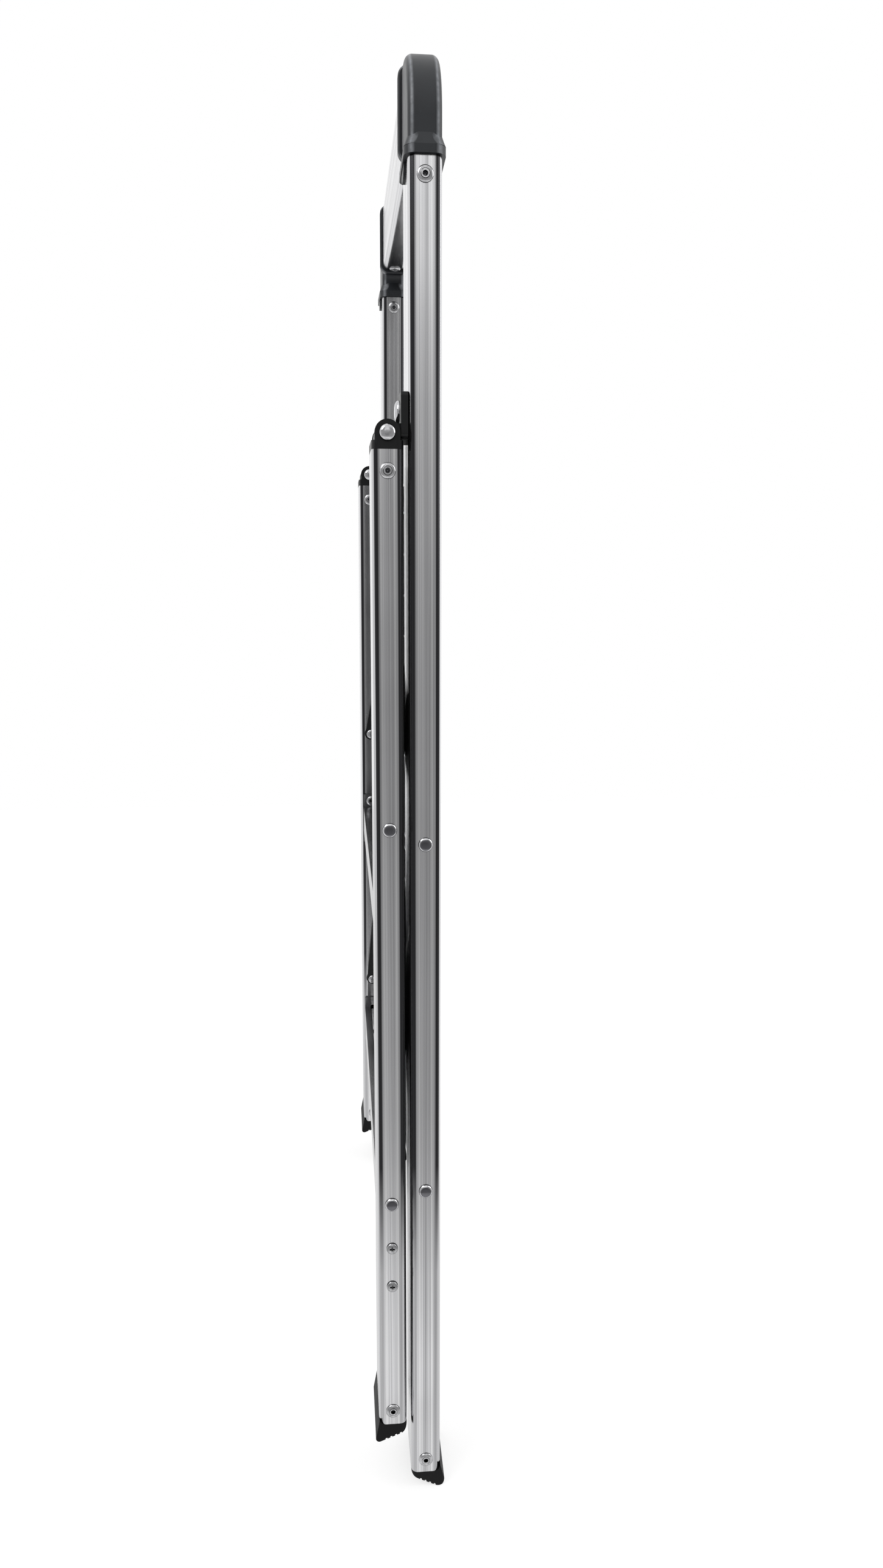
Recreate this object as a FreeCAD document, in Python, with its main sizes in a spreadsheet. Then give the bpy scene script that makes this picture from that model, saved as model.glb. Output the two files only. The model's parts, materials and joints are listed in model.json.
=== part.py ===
# Folding two-step ladder with a handrail, standing folded flat.
# X is the width, the front frame is at -Y, the rear frame at +Y, Z is up.
# All sizes are millimetres; every piece is bound to the sizes sheet.
import FreeCAD, Part
import math
import os
import re
import Sketcher
from FreeCAD import Placement, Rotation, Vector

sizes = {
    # both frames
    "half_width": 246.5,
    "lean": 0.04,
    "stile_width": 52.0,
    "front_depth": 21.0,
    "rear_depth": 20.0,
    "frame_gap": 3.0,
    "tube_wall": 1.6,
    "corner_radius": 5.0,
    "fit_gap": 0.1,
    "running_gap": 0.05,
    "front_tube_start": 12.0,
    "front_tube_end": 905.0,
    "rear_tube_start": 52.5,
    # folding angles in degrees
    "front_lean_angle": 26.0,
    "rear_lean_angle": 21.0,
    "tread_angle": 64.0,
    # handrail and its moulded corner grips
    "bar_height": 52.0,
    "bar_rise": 11.0,
    "grip_reach": 60.8,
    "grip_bend_radius": 48.0,
    "grip_throat_radius": 6.0,
    "grip_edge_radius": 4.6,
    "collar_proud": 2.3,
    "collar_length": 7.0,
    "collar_band": 5.0,
    "collar_flare": 7.0,
    "rim_proud": 2.5,
    "rim_width": 8.0,
    "rim_overlap": 4.5,
    "rim_corner_radius": 7.0,
    "rim_bevel": 1.0,
    "tab_thickness": 1.6,
    "tab_width": 22.0,
    "tab_corner_radius": 8.0,
    "rear_tab_drop": 14.5,
    "front_tab_drop": 5.5,
    "plug_length": 34.0,
    "grip_rivet_drop": 17.0,
    "bar_rivet_inset": 10.0,
    # hinge
    "hinge_height": 739.0,
    "hinge_pin_radius": 4.0,
    "lug_radius": 8.0,
    "lug_thickness": 5.0,
    "lug_side_gap": 0.8,
    "barrel_radius": 7.5,
    "barrel_gap": 1.0,
    "cap_drop": 10.0,
    "cap_base_height": 5.5,
    "cap_plug_length": 29.0,
    "cap_rivet_drop": 13.0,
    "pin_head_radius": 5.2,
    "pin_head_height": 3.0,
    "bracket_drop": 3.0,
    "bracket_height": 28.0,
    "bracket_thickness": 4.5,
    "bracket_inset": 2.0,
    "bracket_corner_radius": 3.0,
    "bracket_arm_drop": 3.5,
    "bracket_arm_height": 9.5,
    "bracket_rivet_rise": 15.0,
    "bracket_rivet_radius": 7.0,
    "bracket_rivet_head": 3.0,
    # feet
    "front_tongue": 3.2,
    "front_tongue_top": 45.0,
    "front_tongue_knee": 5.5,
    "front_rivet_height": 22.0,
    "rear_tongue": 3.9,
    "rear_heel": 2.4,
    "rear_tongue_top": 88.0,
    "rear_tongue_knee": 80.0,
    "rear_rivet_height": 63.0,
    "foot_plug_length": 34.0,
    "tube_end_radius": 4.5,
    "foot_edge_radius": 2.0,
    "toe_radius": 4.5,
    "heel_radius": 2.6,
    "sole_end_radius": 5.0,
    "sole_groove_width": 1.5,
    "sole_groove_depth": 0.8,
    "sole_groove_pitch": 3.7,
    "sole_groove_count": 4,
    # pop rivets and screws
    "rivet_radius": 2.4,
    "rivet_head_radius": 4.9,
    "rivet_head_height": 1.5,
    "rivet_grip": 4.0,
    "screw_head_radius": 3.8,
    "screw_head_height": 1.6,
    # treads
    "lower_pivot_height": 232.0,
    "tread_gap": 8.0,
    "tread_side_gap": 7.6,
    "end_cap_thickness": 4.0,
    "tread_nose": 18.0,
    "lower_tread_tail": 9.6,
    "upper_tread_tail": 119.0,
    "tread_underside": 8.0,
    "deck_thickness": 2.0,
    "mat_thickness": 2.0,
    "mat_groove_width": 2.2,
    "mat_groove_depth": 0.9,
    "mat_groove_pitch": 6.0,
    "mat_border": 5.0,
    "deck_rib_height": 6.0,
    "deck_rib_width": 1.8,
    "deck_rib_pitch": 34.0,
    "tread_pin_radius": 4.0,
    "tread_pin_head_radius": 4.6,
    "tread_pin_head_height": 1.8,
    "boss_radius": 7.2,
    "bush_gap": 0.4,
    # links that drop the treads as the rear frame opens
    "bar_link_gap": 15.8,
    "upper_link_rise": 10.0,
    "rear_pin_offset": 4.0,
    "link_width": 11.0,
    "link_thickness": 2.8,
    "washer_thickness": 1.8,
    "washer_radius": 6.2,
    "washer_gap": 0.3,
    "link_pin_radius": 3.0,
    "link_pin_head_radius": 4.4,
    "link_pin_head_height": 1.2,
    "link_rivet_end": 0.5,
    # rear frame crossbars
    "upper_bar_height": 400.0,
    "upper_bar_rise": 24.0,
    "cross_bar_depth": 15.0,
    "cross_bar_shift": 0.5,
    "lower_bar_height": 175.5,
    "lower_bar_rise": 28.0,
    "flange_thickness": 2.0,
    "flange_rise": 51.0,
    "upper_flange_rise": 50.0,
    "bar_screw_spacing": 29.0,
    "upper_rivet_spacing": 36.0,
}


def add_worked_out_sizes():
    """Sizes that follow from the driving ones."""
    g = sizes
    g["tilt"] = math.degrees(math.atan(g["lean"]))
    # construction width and depth, larger than any piece
    g["span"] = 3 * g["half_width"]
    g["reach"] = 4 * (g["front_depth"] + g["rear_depth"])
    g["rear_shift"] = g["front_depth"] / 2 + g["frame_gap"] + g["rear_depth"] / 2
    front_edge = g["front_depth"] / 2 + g["front_tongue"]
    rear_edge = g["rear_shift"] + g["rear_depth"] / 2 + g["rear_tongue"]
    g["front_y"] = (front_edge - rear_edge) / 2
    g["rear_y"] = g["front_y"] + g["rear_shift"]

    g["bar_bottom"] = g["front_tube_end"] + g["bar_rise"]
    g["bar_half_length"] = g["half_width"] - g["lean"] * (g["bar_bottom"] + g["bar_height"]) - g["grip_reach"]
    g["rear_tube_end"] = g["hinge_height"] - g["cap_drop"]
    g["bracket_bottom"] = g["hinge_height"] - g["bracket_drop"]
    g["bracket_arm_bottom"] = g["hinge_height"] - g["bracket_arm_drop"]
    g["bracket_rivet_height"] = g["hinge_height"] + g["bracket_rivet_rise"]

    front = math.radians(g["front_lean_angle"])
    rear = math.radians(g["rear_lean_angle"])
    # the rounded toe stands on the floor, so the sharp corner of its sole lies below it
    g["toe_drop"] = g["toe_radius"] * ((1 + math.sin(front)) / math.cos(front) - 1)
    above_toe = g["hinge_height"] + g["toe_drop"]
    hinge_over_sole = above_toe * math.cos(front) - (front_edge + g["rear_shift"]) * math.sin(front)
    heel = g["rear_depth"] / 2 + g["rear_heel"]
    g["heel_height"] = g["hinge_height"] - (hinge_over_sole + heel * math.sin(rear)) / math.cos(rear)
    g["front_sole_rise"] = math.tan(front)
    g["rear_sole_rise"] = math.tan(rear)

    opening = front + rear
    turn = math.radians(g["tread_angle"])
    bar_top = g["lower_bar_height"] + g["flange_rise"] / 2
    g["lower_link_foot"] = bar_top + g["bar_link_gap"] + g["washer_radius"]
    for step in ("lower", "upper"):
        drop = g["hinge_height"] - g[step + "_link_foot"]
        rise = g[step + "_pivot_height"] - g[step + "_link_foot"]
        back = g["rear_shift"]
        offset = g["rear_pin_offset"]
        foot_y = back + drop * math.sin(opening)
        foot_z = g["hinge_height"] - drop * math.cos(opening) - g[step + "_pivot_height"]
        over = foot_y ** 2 + foot_z ** 2 - back ** 2 - rise ** 2 + 2 * back * offset
        over -= 2 * offset * (math.cos(turn) * foot_y - math.sin(turn) * foot_z)
        reach = over / (2 * (math.sin(turn) * foot_y + math.cos(turn) * foot_z) + 2 * rise)
        g[step + "_tread_length"] = reach + g[step + "_tread_tail"]
        g[step + "_pin_height"] = g[step + "_pivot_height"] + reach
        g[step + "_link_length"] = math.hypot(back - offset, reach + rise)
        g[step + "_link_tilt"] = math.degrees(math.atan2(back - offset, reach + rise))

        pin_y = math.sin(turn) * reach + math.cos(turn) * offset
        pin_z = math.cos(turn) * reach - math.sin(turn) * offset
        open_tilt = math.degrees(math.atan2(foot_y - pin_y, pin_z - foot_z))
        g[step + "_link_turn"] = open_tilt - g[step + "_link_tilt"] - math.degrees(opening)
        if step == "lower":
            below = g["lower_pivot_height"] + g["lower_tread_length"]
            g["upper_pivot_height"] = below + g["tread_gap"] + g["tread_nose"]
            g["upper_link_foot"] = g["upper_pivot_height"] + g["upper_link_rise"]


add_worked_out_sizes()
doc = FreeCAD.newDocument("step_ladder")
sheet = doc.addObject("Spreadsheet::Sheet", "sizes")
for row, (name, value) in enumerate(sizes.items(), 1):
    sheet.set("A%d" % row, name)
    sheet.set("B%d" % row, "%.6f" % value)
    sheet.setAlias("B%d" % row, name)
doc.recompute()

kept = []


def bind(thing, prop, formula):
    """Bind a property to a formula in the words of the sizes sheet."""
    def in_sheet(found):
        return "sizes." + found.group() if found.group() in sizes else found.group()
    thing.setExpression(prop, re.sub("[a-z_]+", in_sheet, formula))


def place(thing, x="0", y="0", z="0", turn=None, angle="0"):
    """Place a piece by formulas, turned by an angle about one axis."""
    thing.Placement = Placement(Vector(), Rotation(turn or Vector(0, 0, 1), 1 if turn else 0))
    for letter, formula in zip("xyz", (x, y, z)):
        bind(thing, "Placement.Base." + letter, formula)
    if turn:
        bind(thing, "Placement.Rotation.Angle", angle)
    return thing


def sketch_on(body, plane):
    sketch = body.newObject("Sketcher::SketchObject", body.Name + "_sketch")
    origin = [feature for feature in body.Origin.OriginFeatures if feature.Role == plane]
    sketch.AttachmentSupport = (origin[0], [""])
    sketch.MapMode = "FlatFace"
    return sketch


def hold(sketch, kind, element, point, formula):
    """Constrain a point's distance from the sketch origin to a formula."""
    index = sketch.addConstraint(Sketcher.Constraint(kind, -1, 1, element, point, 1.0))
    bind(sketch, "Constraints[%d]" % index, formula)


def draw_outline(sketch, points):
    """A closed outline of straight edges through points given as formulas."""
    first = sketch.GeometryCount
    count = len(points)
    ring = [2 * math.pi * place_on / count for place_on in range(count)]
    corners = [Vector(math.cos(turn), math.sin(turn), 0) for turn in ring]
    for here in range(count):
        sketch.addGeometry(Part.LineSegment(corners[here], corners[(here + 1) % count]), False)
    for here in range(count):
        after = first + (here + 1) % count
        sketch.addConstraint(Sketcher.Constraint("Coincident", first + here, 2, after, 1))
    for here, (across, up) in enumerate(points):
        hold(sketch, "DistanceX", first + here, 1, across)
        hold(sketch, "DistanceY", first + here, 1, up)


def draw_circle(sketch, across, up, radius):
    circle = sketch.addGeometry(Part.Circle(Vector(0, 0, 0), Vector(0, 0, 1), 1.0), False)
    hold(sketch, "DistanceX", circle, 3, across)
    hold(sketch, "DistanceY", circle, 3, up)
    index = sketch.addConstraint(Sketcher.Constraint("Radius", circle, 1.0))
    bind(sketch, "Constraints[%d]" % index, radius)


def add_pad(body, plane, length, outlines=(), circles=()):
    """Pad a sketch to both sides of its plane."""
    sketch = sketch_on(body, plane)
    for points in outlines:
        draw_outline(sketch, points)
    for circle in circles:
        draw_circle(sketch, *circle)
    pad = body.newObject("PartDesign::Pad", body.Name + "_pad")
    pad.Profile = sketch
    pad.SideType = "Symmetric"
    bind(pad, "Length", length)
    return pad


def new_body(name, y="front_y"):
    return place(doc.addObject("PartDesign::Body", name), y=y)


def side_form(name, outlines=(), circles=(), y="front_y", width="span"):
    """A form drawn from the side, in the YZ plane, and run across the width."""
    body = new_body(name, y)
    add_pad(body, "YZ_Plane", width, outlines, circles)
    return body


def front_form(name, points, y="front_y", depth="reach"):
    """A form drawn from the front, in the XZ plane, and run through the depth."""
    body = new_body(name, y)
    add_pad(body, "XZ_Plane", depth, [points])
    return body


def round_edges(body, radius, chosen, kind="PartDesign::Fillet"):
    """Round the edges of a body for which chosen(edge) holds, or bevel them with a chamfer."""
    doc.recompute()
    base = body.Tip
    names = ["Edge%d" % (place_in + 1) for place_in, edge in enumerate(base.Shape.Edges) if chosen(edge)]
    finish = body.newObject(kind, body.Name + "_finish")
    finish.Base = (base, names)
    bind(finish, "Size" if kind == "PartDesign::Chamfer" else "Radius", radius)
    return finish


def along(edge, axis):
    """True for a straight edge that runs along an axis."""
    if not isinstance(edge.Curve, Part.Line):
        return False
    return abs(abs(edge.Curve.Direction.dot(axis)) - 1) < 0.0001


def fuse(name, shapes):
    union = doc.addObject("Part::MultiFuse", name)
    union.Shapes = shapes
    union.Refine = True
    return union


def cut(name, base, tool):
    removed = doc.addObject("Part::Cut", name)
    removed.Base = base
    removed.Tool = tool
    return removed


def crossed(name, side, front):
    """What a side form and a front form have in common."""
    common = doc.addObject("Part::Common", name)
    common.Base = side
    common.Tool = front
    return common


def keep(thing, label=None):
    """Mark a piece as a sub-part of the ladder."""
    thing.Label = label or thing.Name
    kept.append(thing)
    return thing


def mirror(source, name):
    mirrored = doc.addObject("Part::Mirroring", name)
    mirrored.Source = source
    mirrored.Normal = Vector(1, 0, 0)
    return mirrored


def keep_pair(left, name):
    """Keep a left-hand piece and its mirror image on the right."""
    keep(left, name + "_left")
    keep(mirror(left, name + "_right_form"), name + "_right")


def group(name, left_pieces):
    """Keep identical small pieces of both sides as one group of solids."""
    left = doc.addObject("Part::Compound", name + "_left_side")
    left.Links = left_pieces
    both = doc.addObject("Part::Compound", name)
    both.Links = [left, mirror(left, name + "_right_side")]
    return keep(both)


def edge_at(height, inward="0"):
    """X on the left side, measured inward from the stile's outer face at a height."""
    return "-half_width + lean * (%s) + (%s)" % (height, inward)


def strip(low, high, start, end):
    """Front outline of a strip that follows the left stile between two insets."""
    return [
        (edge_at(low, start), low),
        (edge_at(low, end), low),
        (edge_at(high, end), high),
        (edge_at(high, start), high),
    ]


def bridge(low, high, inset):
    """Front outline between the two stiles, the same inset from both."""
    return [
        (edge_at(low, inset), low),
        ("-(%s)" % edge_at(low, inset), low),
        ("-(%s)" % edge_at(high, inset), high),
        (edge_at(high, inset), high),
    ]


def box_outline(low_across, high_across, low_up, high_up):
    return [(low_across, low_up), (high_across, low_up), (high_across, high_up), (low_across, high_up)]


def cross_rod(name, height, radius, y="front_y", start="-span / 2", length="span"):
    """A round rod along X."""
    rod = doc.addObject("Part::Cylinder", name)
    bind(rod, "Radius", radius)
    bind(rod, "Height", length)
    return place(rod, start, y, height, Vector(0, 1, 0), "90")


def headed_pin(name, head_radius, head_height, radius, length):
    """A pin turned about its own axis: the head above zero, the shank below it."""
    body = doc.addObject("PartDesign::Body", name)
    sketch = sketch_on(body, "XZ_Plane")
    draw_outline(sketch, [
        ("0", "-(%s)" % length),
        (radius, "-(%s)" % length),
        (radius, "0"),
        (head_radius, "0"),
        ("%s * 0.5" % head_radius, head_height),
        ("0", head_height),
    ])
    turned = body.newObject("PartDesign::Revolution", name + "_turned")
    turned.Profile = sketch
    turned.ReferenceAxis = (sketch, ["V_Axis"])
    turned.Angle = 360
    return body


def outer_pin(name, y, height, head_radius, head_height, radius, length):
    """A pin whose head rests on the outer face of the left stile."""
    pin = headed_pin(name, head_radius, head_height, radius, length)
    face = edge_at("(%s) - (%s)" % (height, head_radius))
    return place(pin, face, y, height, Vector(0, 1, 0), "-90")


def inner_pin(name, y, height, head_radius, head_height, radius, length, inset="stile_width"):
    """A pin whose head rests on the inner face of the left stile."""
    pin = headed_pin(name, head_radius, head_height, radius, length)
    face = edge_at("(%s) + (%s)" % (height, head_radius), inset)
    return place(pin, face, y, height, Vector(0, 1, 0), "90")


def pop_rivets(name, y, height):
    """The pair of pop rivets through the outer and inner wall of the left stile."""
    sizes_of_rivet = ("rivet_head_radius", "rivet_head_height", "rivet_radius", "rivet_grip + tube_wall")
    outer = outer_pin(name + "_outer", y, height, *sizes_of_rivet)
    inner = inner_pin(name + "_inner", y, height, *sizes_of_rivet)
    return [outer, inner]


def drilled(name, base, y, holes):
    """Drill holes across the width, given as heights and radii."""
    rods = [
        cross_rod("%s_hole_%d" % (name, count), height, radius, y)
        for count, (height, radius) in enumerate(holes)
    ]
    tool = rods[0] if len(rods) == 1 else fuse(name + "_holes", rods)
    return cut(name, base, tool)


def column(name, near, far, start, end, y, proud="0", corners=("corner_radius", "corner_radius"),
           taper="0", hollow=False):
    """A rounded rectangular column that leans with the left stile."""
    body = doc.addObject("PartDesign::Body", name)
    place(body, "-half_width + stile_width / 2", y, "0", Vector(0, 1, 0), "tilt")
    sketch = sketch_on(body, "XY_Plane")
    bind(sketch, "AttachmentOffset.Base.z", "(%s) / cos(tilt)" % start)
    for inset in ("0", "tube_wall")[:2 if hollow else 1]:
        across = "stile_width / 2 * cos(tilt) + %s - %s" % (proud, inset)
        draw_outline(sketch, box_outline("-(%s)" % across, across, "%s + %s" % (near, inset),
                                         "%s - %s" % (far, inset)))
    pad = body.newObject("PartDesign::Pad", name + "_pad")
    pad.Profile = sketch
    bind(pad, "Length", "(%s - (%s)) / cos(tilt)" % (end, start))
    bind(pad, "TaperAngle", taper)
    doc.recompute()
    middle = pad.Shape.BoundBox.Center.y
    upright = [edge for edge in pad.Shape.Edges if edge.BoundBox.ZLength > 1]
    outside = max(abs(edge.CenterOfMass.x) for edge in upright) - 0.01
    for radius, side in zip(corners, (-1, 1)):
        round_edges(body, "%s + %s" % (radius, proud), lambda edge: edge.BoundBox.ZLength > 1
                    and abs(edge.CenterOfMass.x) > outside and (edge.CenterOfMass.y - middle) * side > 0)
    return body


def level(name, thing, low, high):
    """Cut a leaning piece level at both ends."""
    room = doc.addObject("Part::Box", name + "_room")
    bind(room, "Length", "span")
    bind(room, "Width", "2 * reach")
    bind(room, "Height", "%s - (%s)" % (high, low))
    place(room, "-span / 2", "-reach", low)
    return crossed(name, thing, room)


def stile_ends(name, depth, start, end, y, toe_side):
    """The side outline of a stile: level ends, the lower corner rounded on the side of the toe."""
    ends = side_form(name, [box_outline("-%s / 2" % depth, "%s / 2" % depth, start, end)], y=y)
    low = sizes[start] + 0.01
    round_edges(ends, "tube_end_radius", lambda edge: along(edge, Vector(1, 0, 0))
                and edge.CenterOfMass.z < low and edge.CenterOfMass.y * toe_side > 0)
    return ends


def tube(name, depth, start, end, y, toe_side):
    """A left stile: a rounded rectangular tube that leans inward."""
    walls = column(name + "_walls", "-%s / 2" % depth, "%s / 2" % depth, "%s - stile_width * lean" % start,
                   "%s + stile_width * lean" % end, y, hollow=True)
    return crossed(name, walls, stile_ends(name + "_ends", depth, start, end, y, toe_side))


def make_stiles():
    hole = doc.addObject("Part::Cylinder", "stile_bracket_hole")
    bind(hole, "Radius", "rivet_radius")
    bind(hole, "Height", "front_depth")
    place(hole, edge_at("bracket_rivet_height", "stile_width / 2"), "front_y",
          "bracket_rivet_height", Vector(1, 0, 0), "-90")
    plain = tube("front_tube", "front_depth", "front_tube_start", "front_tube_end", "front_y", -1)
    front = cut("front_tube_drilled", plain, hole)
    keep_pair(drilled("front_stile", front, "front_y", [
        ("front_rivet_height", "rivet_radius"),
        ("front_tube_end - grip_rivet_drop", "rivet_radius"),
        ("lower_pivot_height", "tread_pin_radius"),
        ("upper_pivot_height", "tread_pin_radius"),
    ]), "front_stile")
    plain = tube("rear_tube", "rear_depth", "rear_tube_start", "rear_tube_end", "rear_y", 1)
    rivet_rods = [
        cross_rod("rear_tube_rivet_hole_%s" % word, "upper_bar_height %s upper_rivet_spacing / 2" % sign,
                  "rivet_radius", "rear_y", edge_at("upper_bar_height", "stile_width / 2"), "stile_width")
        for word, sign in (("low", "-"), ("high", "+"))
    ]
    rear = cut("rear_tube_drilled", plain, fuse("rear_tube_rivet_holes", rivet_rods))
    screw = "bar_screw_spacing / 2"
    keep_pair(drilled("rear_stile", rear, "rear_y", [
        ("rear_rivet_height", "rivet_radius"),
        ("rear_tube_end - cap_rivet_drop", "rivet_radius"),
        ("lower_link_foot", "tread_pin_radius"),
        ("upper_link_foot", "tread_pin_radius"),
        ("lower_bar_height - " + screw, "rivet_radius"),
        ("lower_bar_height + " + screw, "rivet_radius"),
    ]), "rear_stile")


def plug(name, low, high, depth, y="front_y"):
    """The tongue of a moulding inside the left stile."""
    inset = "tube_wall + fit_gap"
    end = "stile_width - tube_wall - fit_gap"
    through = "%s - 2 * (%s)" % (depth, inset)
    return front_form(name, strip(low, high, inset, end), y, through)


def make_handrail():
    bar = new_body("handrail_tube")
    bar.Placement.Base = Vector(0, 0, 0)
    bind(bar, "Placement.Base.z", "bar_bottom + bar_height / 2")
    outlines = []
    for inset in ("0", "tube_wall"):
        across = "front_depth / 2 - " + inset
        up = "bar_height / 2 - " + inset
        outlines.append(box_outline("-(%s)" % across, across, "-(%s)" % up, up))
    add_pad(bar, "YZ_Plane", "2 * bar_half_length", outlines)
    half = sizes["bar_height"] / 2 - 0.01
    round_edges(bar, "corner_radius", lambda edge: along(edge, Vector(1, 0, 0))
                and abs(edge.CenterOfMass.z) > half)
    hole = doc.addObject("Part::Cylinder", "bar_rivet_hole")
    bind(hole, "Radius", "rivet_radius")
    bind(hole, "Height", "bar_height / 2")
    place(hole, "-bar_half_length + bar_rivet_inset", "front_y", "bar_bottom - bar_height / 4")
    holes = fuse("bar_rivet_holes", [hole, mirror(hole, "bar_rivet_hole_right")])
    return keep(cut("handrail", bar, holes), "handrail_bar")


def make_grips():
    """Moulded elbow that joins the front stile and the handrail."""
    top = "bar_bottom + bar_height"
    elbow = front_form("grip_elbow", [
        (edge_at("front_tube_end"), "front_tube_end"),
        (edge_at("front_tube_end", "stile_width"), "front_tube_end"),
        (edge_at("bar_bottom", "stile_width"), "bar_bottom"),
        ("-bar_half_length", "bar_bottom"),
        ("-bar_half_length", top),
        (edge_at(top), top),
    ], depth="front_depth")
    top_height = sizes["bar_bottom"] + sizes["bar_height"] - 0.01
    bend_side = -sizes["half_width"] + sizes["lean"] * top_height
    throat_side = bend_side + sizes["stile_width"] + 1
    throat_height = sizes["bar_bottom"]
    y_axis = Vector(0, 1, 0)
    round_edges(elbow, "grip_bend_radius", lambda edge: along(edge, y_axis)
                and edge.CenterOfMass.z > top_height and edge.CenterOfMass.x < bend_side + 1)
    round_edges(elbow, "grip_throat_radius", lambda edge: along(edge, y_axis)
                and abs(edge.CenterOfMass.z - throat_height) < 0.01 and edge.CenterOfMass.x < throat_side)
    face = sizes["front_depth"] / 2 - 0.01
    low = sizes["front_tube_end"] + 0.01
    mouth = -sizes["bar_half_length"] - 0.01
    round_edges(elbow, "grip_edge_radius", lambda edge: abs(edge.CenterOfMass.y) > face
                and edge.CenterOfMass.z > low and edge.CenterOfMass.x < mouth)

    half_depth = "front_depth / 2"
    bottom = "front_tube_end - collar_length"
    band_top = bottom + " + collar_band"
    wide = half_depth + " + collar_proud"
    band = column("grip_collar_band", "-(%s)" % wide, wide, bottom, band_top, "front_y", "collar_proud")
    flare = column("grip_collar_flare", "-(%s)" % wide, wide, band_top, band_top + " + collar_flare",
                   "front_y", "collar_proud", taper="-atan((collar_proud - running_gap) / collar_flare)")
    collar = fuse("grip_collar", [band, flare])

    top_proud = "bar_height + 2 * rim_proud"
    rim = new_body("grip_rim_form")
    bind(rim, "Placement.Base.x", "-bar_half_length + rim_overlap - rim_width / 2")
    bind(rim, "Placement.Base.z", "bar_bottom + bar_height / 2")
    across = half_depth + " + rim_proud"
    add_pad(rim, "YZ_Plane", "rim_width", [box_outline(
        "-(%s)" % across, across, "-(%s) / 2" % top_proud, "(%s) / 2" % top_proud)])
    round_edges(rim, "rim_corner_radius", lambda edge: along(edge, Vector(1, 0, 0)))
    side = sizes["rim_width"] / 2 - 0.01
    round_edges(rim, "rim_bevel", lambda edge: abs(edge.CenterOfMass.x) > side, "PartDesign::Chamfer")
    bar_room = new_body("grip_bar_room")
    bind(bar_room, "Placement.Base.x", "-bar_half_length + reach / 2")
    bind(bar_room, "Placement.Base.z", "bar_bottom + bar_height / 2")
    add_pad(bar_room, "YZ_Plane", "reach", [box_outline(
        "-" + half_depth, half_depth, "-bar_height / 2", "bar_height / 2")])
    round_edges(bar_room, "corner_radius", lambda edge: along(edge, Vector(1, 0, 0)))
    tabs = [
        side_form("grip_rear_tab", [box_outline(
            "front_depth / 2", "front_depth / 2 + tab_thickness",
            "front_tube_end - rear_tab_drop", "front_tube_end")]),
        side_form("grip_front_tab", [box_outline(
            "-front_depth / 2 - tab_thickness", "-front_depth / 2",
            "front_tube_end - front_tab_drop", "front_tube_end")]),
    ]
    tab_inset = "(stile_width - tab_width) / 2"
    tab_strip = strip("front_tube_end - rear_tab_drop", "front_tube_end", tab_inset,
                      "stile_width - " + tab_inset)
    tab_front = front_form("grip_tab_front", tab_strip)
    tab_foot = sizes["front_tube_end"] - sizes["rear_tab_drop"] + 0.01
    round_edges(tab_front, "tab_corner_radius", lambda edge: along(edge, y_axis)
                and edge.CenterOfMass.z < tab_foot)
    tab = crossed("grip_tabs", fuse("grip_tab_sides", tabs), tab_front)
    tube_room = level("grip_tube_room", column(
        "grip_tube_column", "-" + half_depth, half_depth, "front_tube_end - 2 * rear_tab_drop",
        "front_tube_end + stile_width * lean", "front_y"), "front_tube_end - 2 * rear_tab_drop", "front_tube_end")
    sleeve = cut("grip_sleeve", fuse("grip_sleeve_form", [collar, tab]), tube_room)
    rim_sleeve = cut("grip_rim", rim, bar_room)
    stile_plug = plug("grip_stile_plug", "front_tube_end - plug_length", "front_tube_end", "front_depth")
    bar_plug = front_form("grip_bar_plug", box_outline(
        "-bar_half_length", "-bar_half_length + plug_length",
        "bar_bottom + tube_wall + fit_gap", top + " - tube_wall - fit_gap"),
        depth="front_depth - 2 * (tube_wall + fit_gap)")
    whole = fuse("grip_whole", [elbow, sleeve, rim_sleeve, stile_plug, bar_plug])
    side_holes = cross_rod("grip_side_hole", "front_tube_end - grip_rivet_drop", "rivet_radius")
    under_hole = doc.addObject("Part::Cylinder", "grip_under_hole")
    bind(under_hole, "Radius", "rivet_radius")
    bind(under_hole, "Height", "bar_height / 2")
    place(under_hole, "-bar_half_length + bar_rivet_inset", "front_y", "bar_bottom - bar_height / 4")
    keep_pair(cut("corner_grip", whole, fuse("grip_holes", [side_holes, under_hole])), "corner_grip")

    bar_rivet = headed_pin("grip_bar_rivet", "rivet_head_radius", "rivet_head_height",
                           "rivet_radius", "rivet_grip + tube_wall")
    place(bar_rivet, "-bar_half_length + bar_rivet_inset", "front_y", "bar_bottom", Vector(1, 0, 0), "180")
    group("grip_rivets", pop_rivets("grip_rivet", "front_y", "front_tube_end - grip_rivet_drop") + [bar_rivet])


def sole_grooves(name, corner_y, corner_z, slope, toward):
    """Bars that cut the grooves of a sloping sole, counted from its lowest corner."""
    bars = doc.addObject("PartDesign::Body", name)
    place(bars, "0", corner_y, corner_z, Vector(1, 0, 0), slope)
    near = "%s 2 * sole_groove_pitch" % toward
    far = "%s (2 * sole_groove_pitch + sole_groove_width)" % toward
    bar = add_pad(bars, "YZ_Plane", "span", [box_outline(near, far, "-sole_groove_depth", "sole_groove_depth")])
    doc.recompute()
    pattern = bars.newObject("PartDesign::LinearPattern", name + "_pattern")
    pattern.Originals = [bar]
    pattern.Direction = (bar.Profile[0], ["H_Axis"])
    pattern.Reversed = toward == "-"
    pattern.Mode = "Spacing"
    bind(pattern, "Offset", "sole_groove_pitch")
    bind(pattern, "Occurrences", "sole_groove_count")
    bars.Tip = pattern
    return bars


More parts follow.
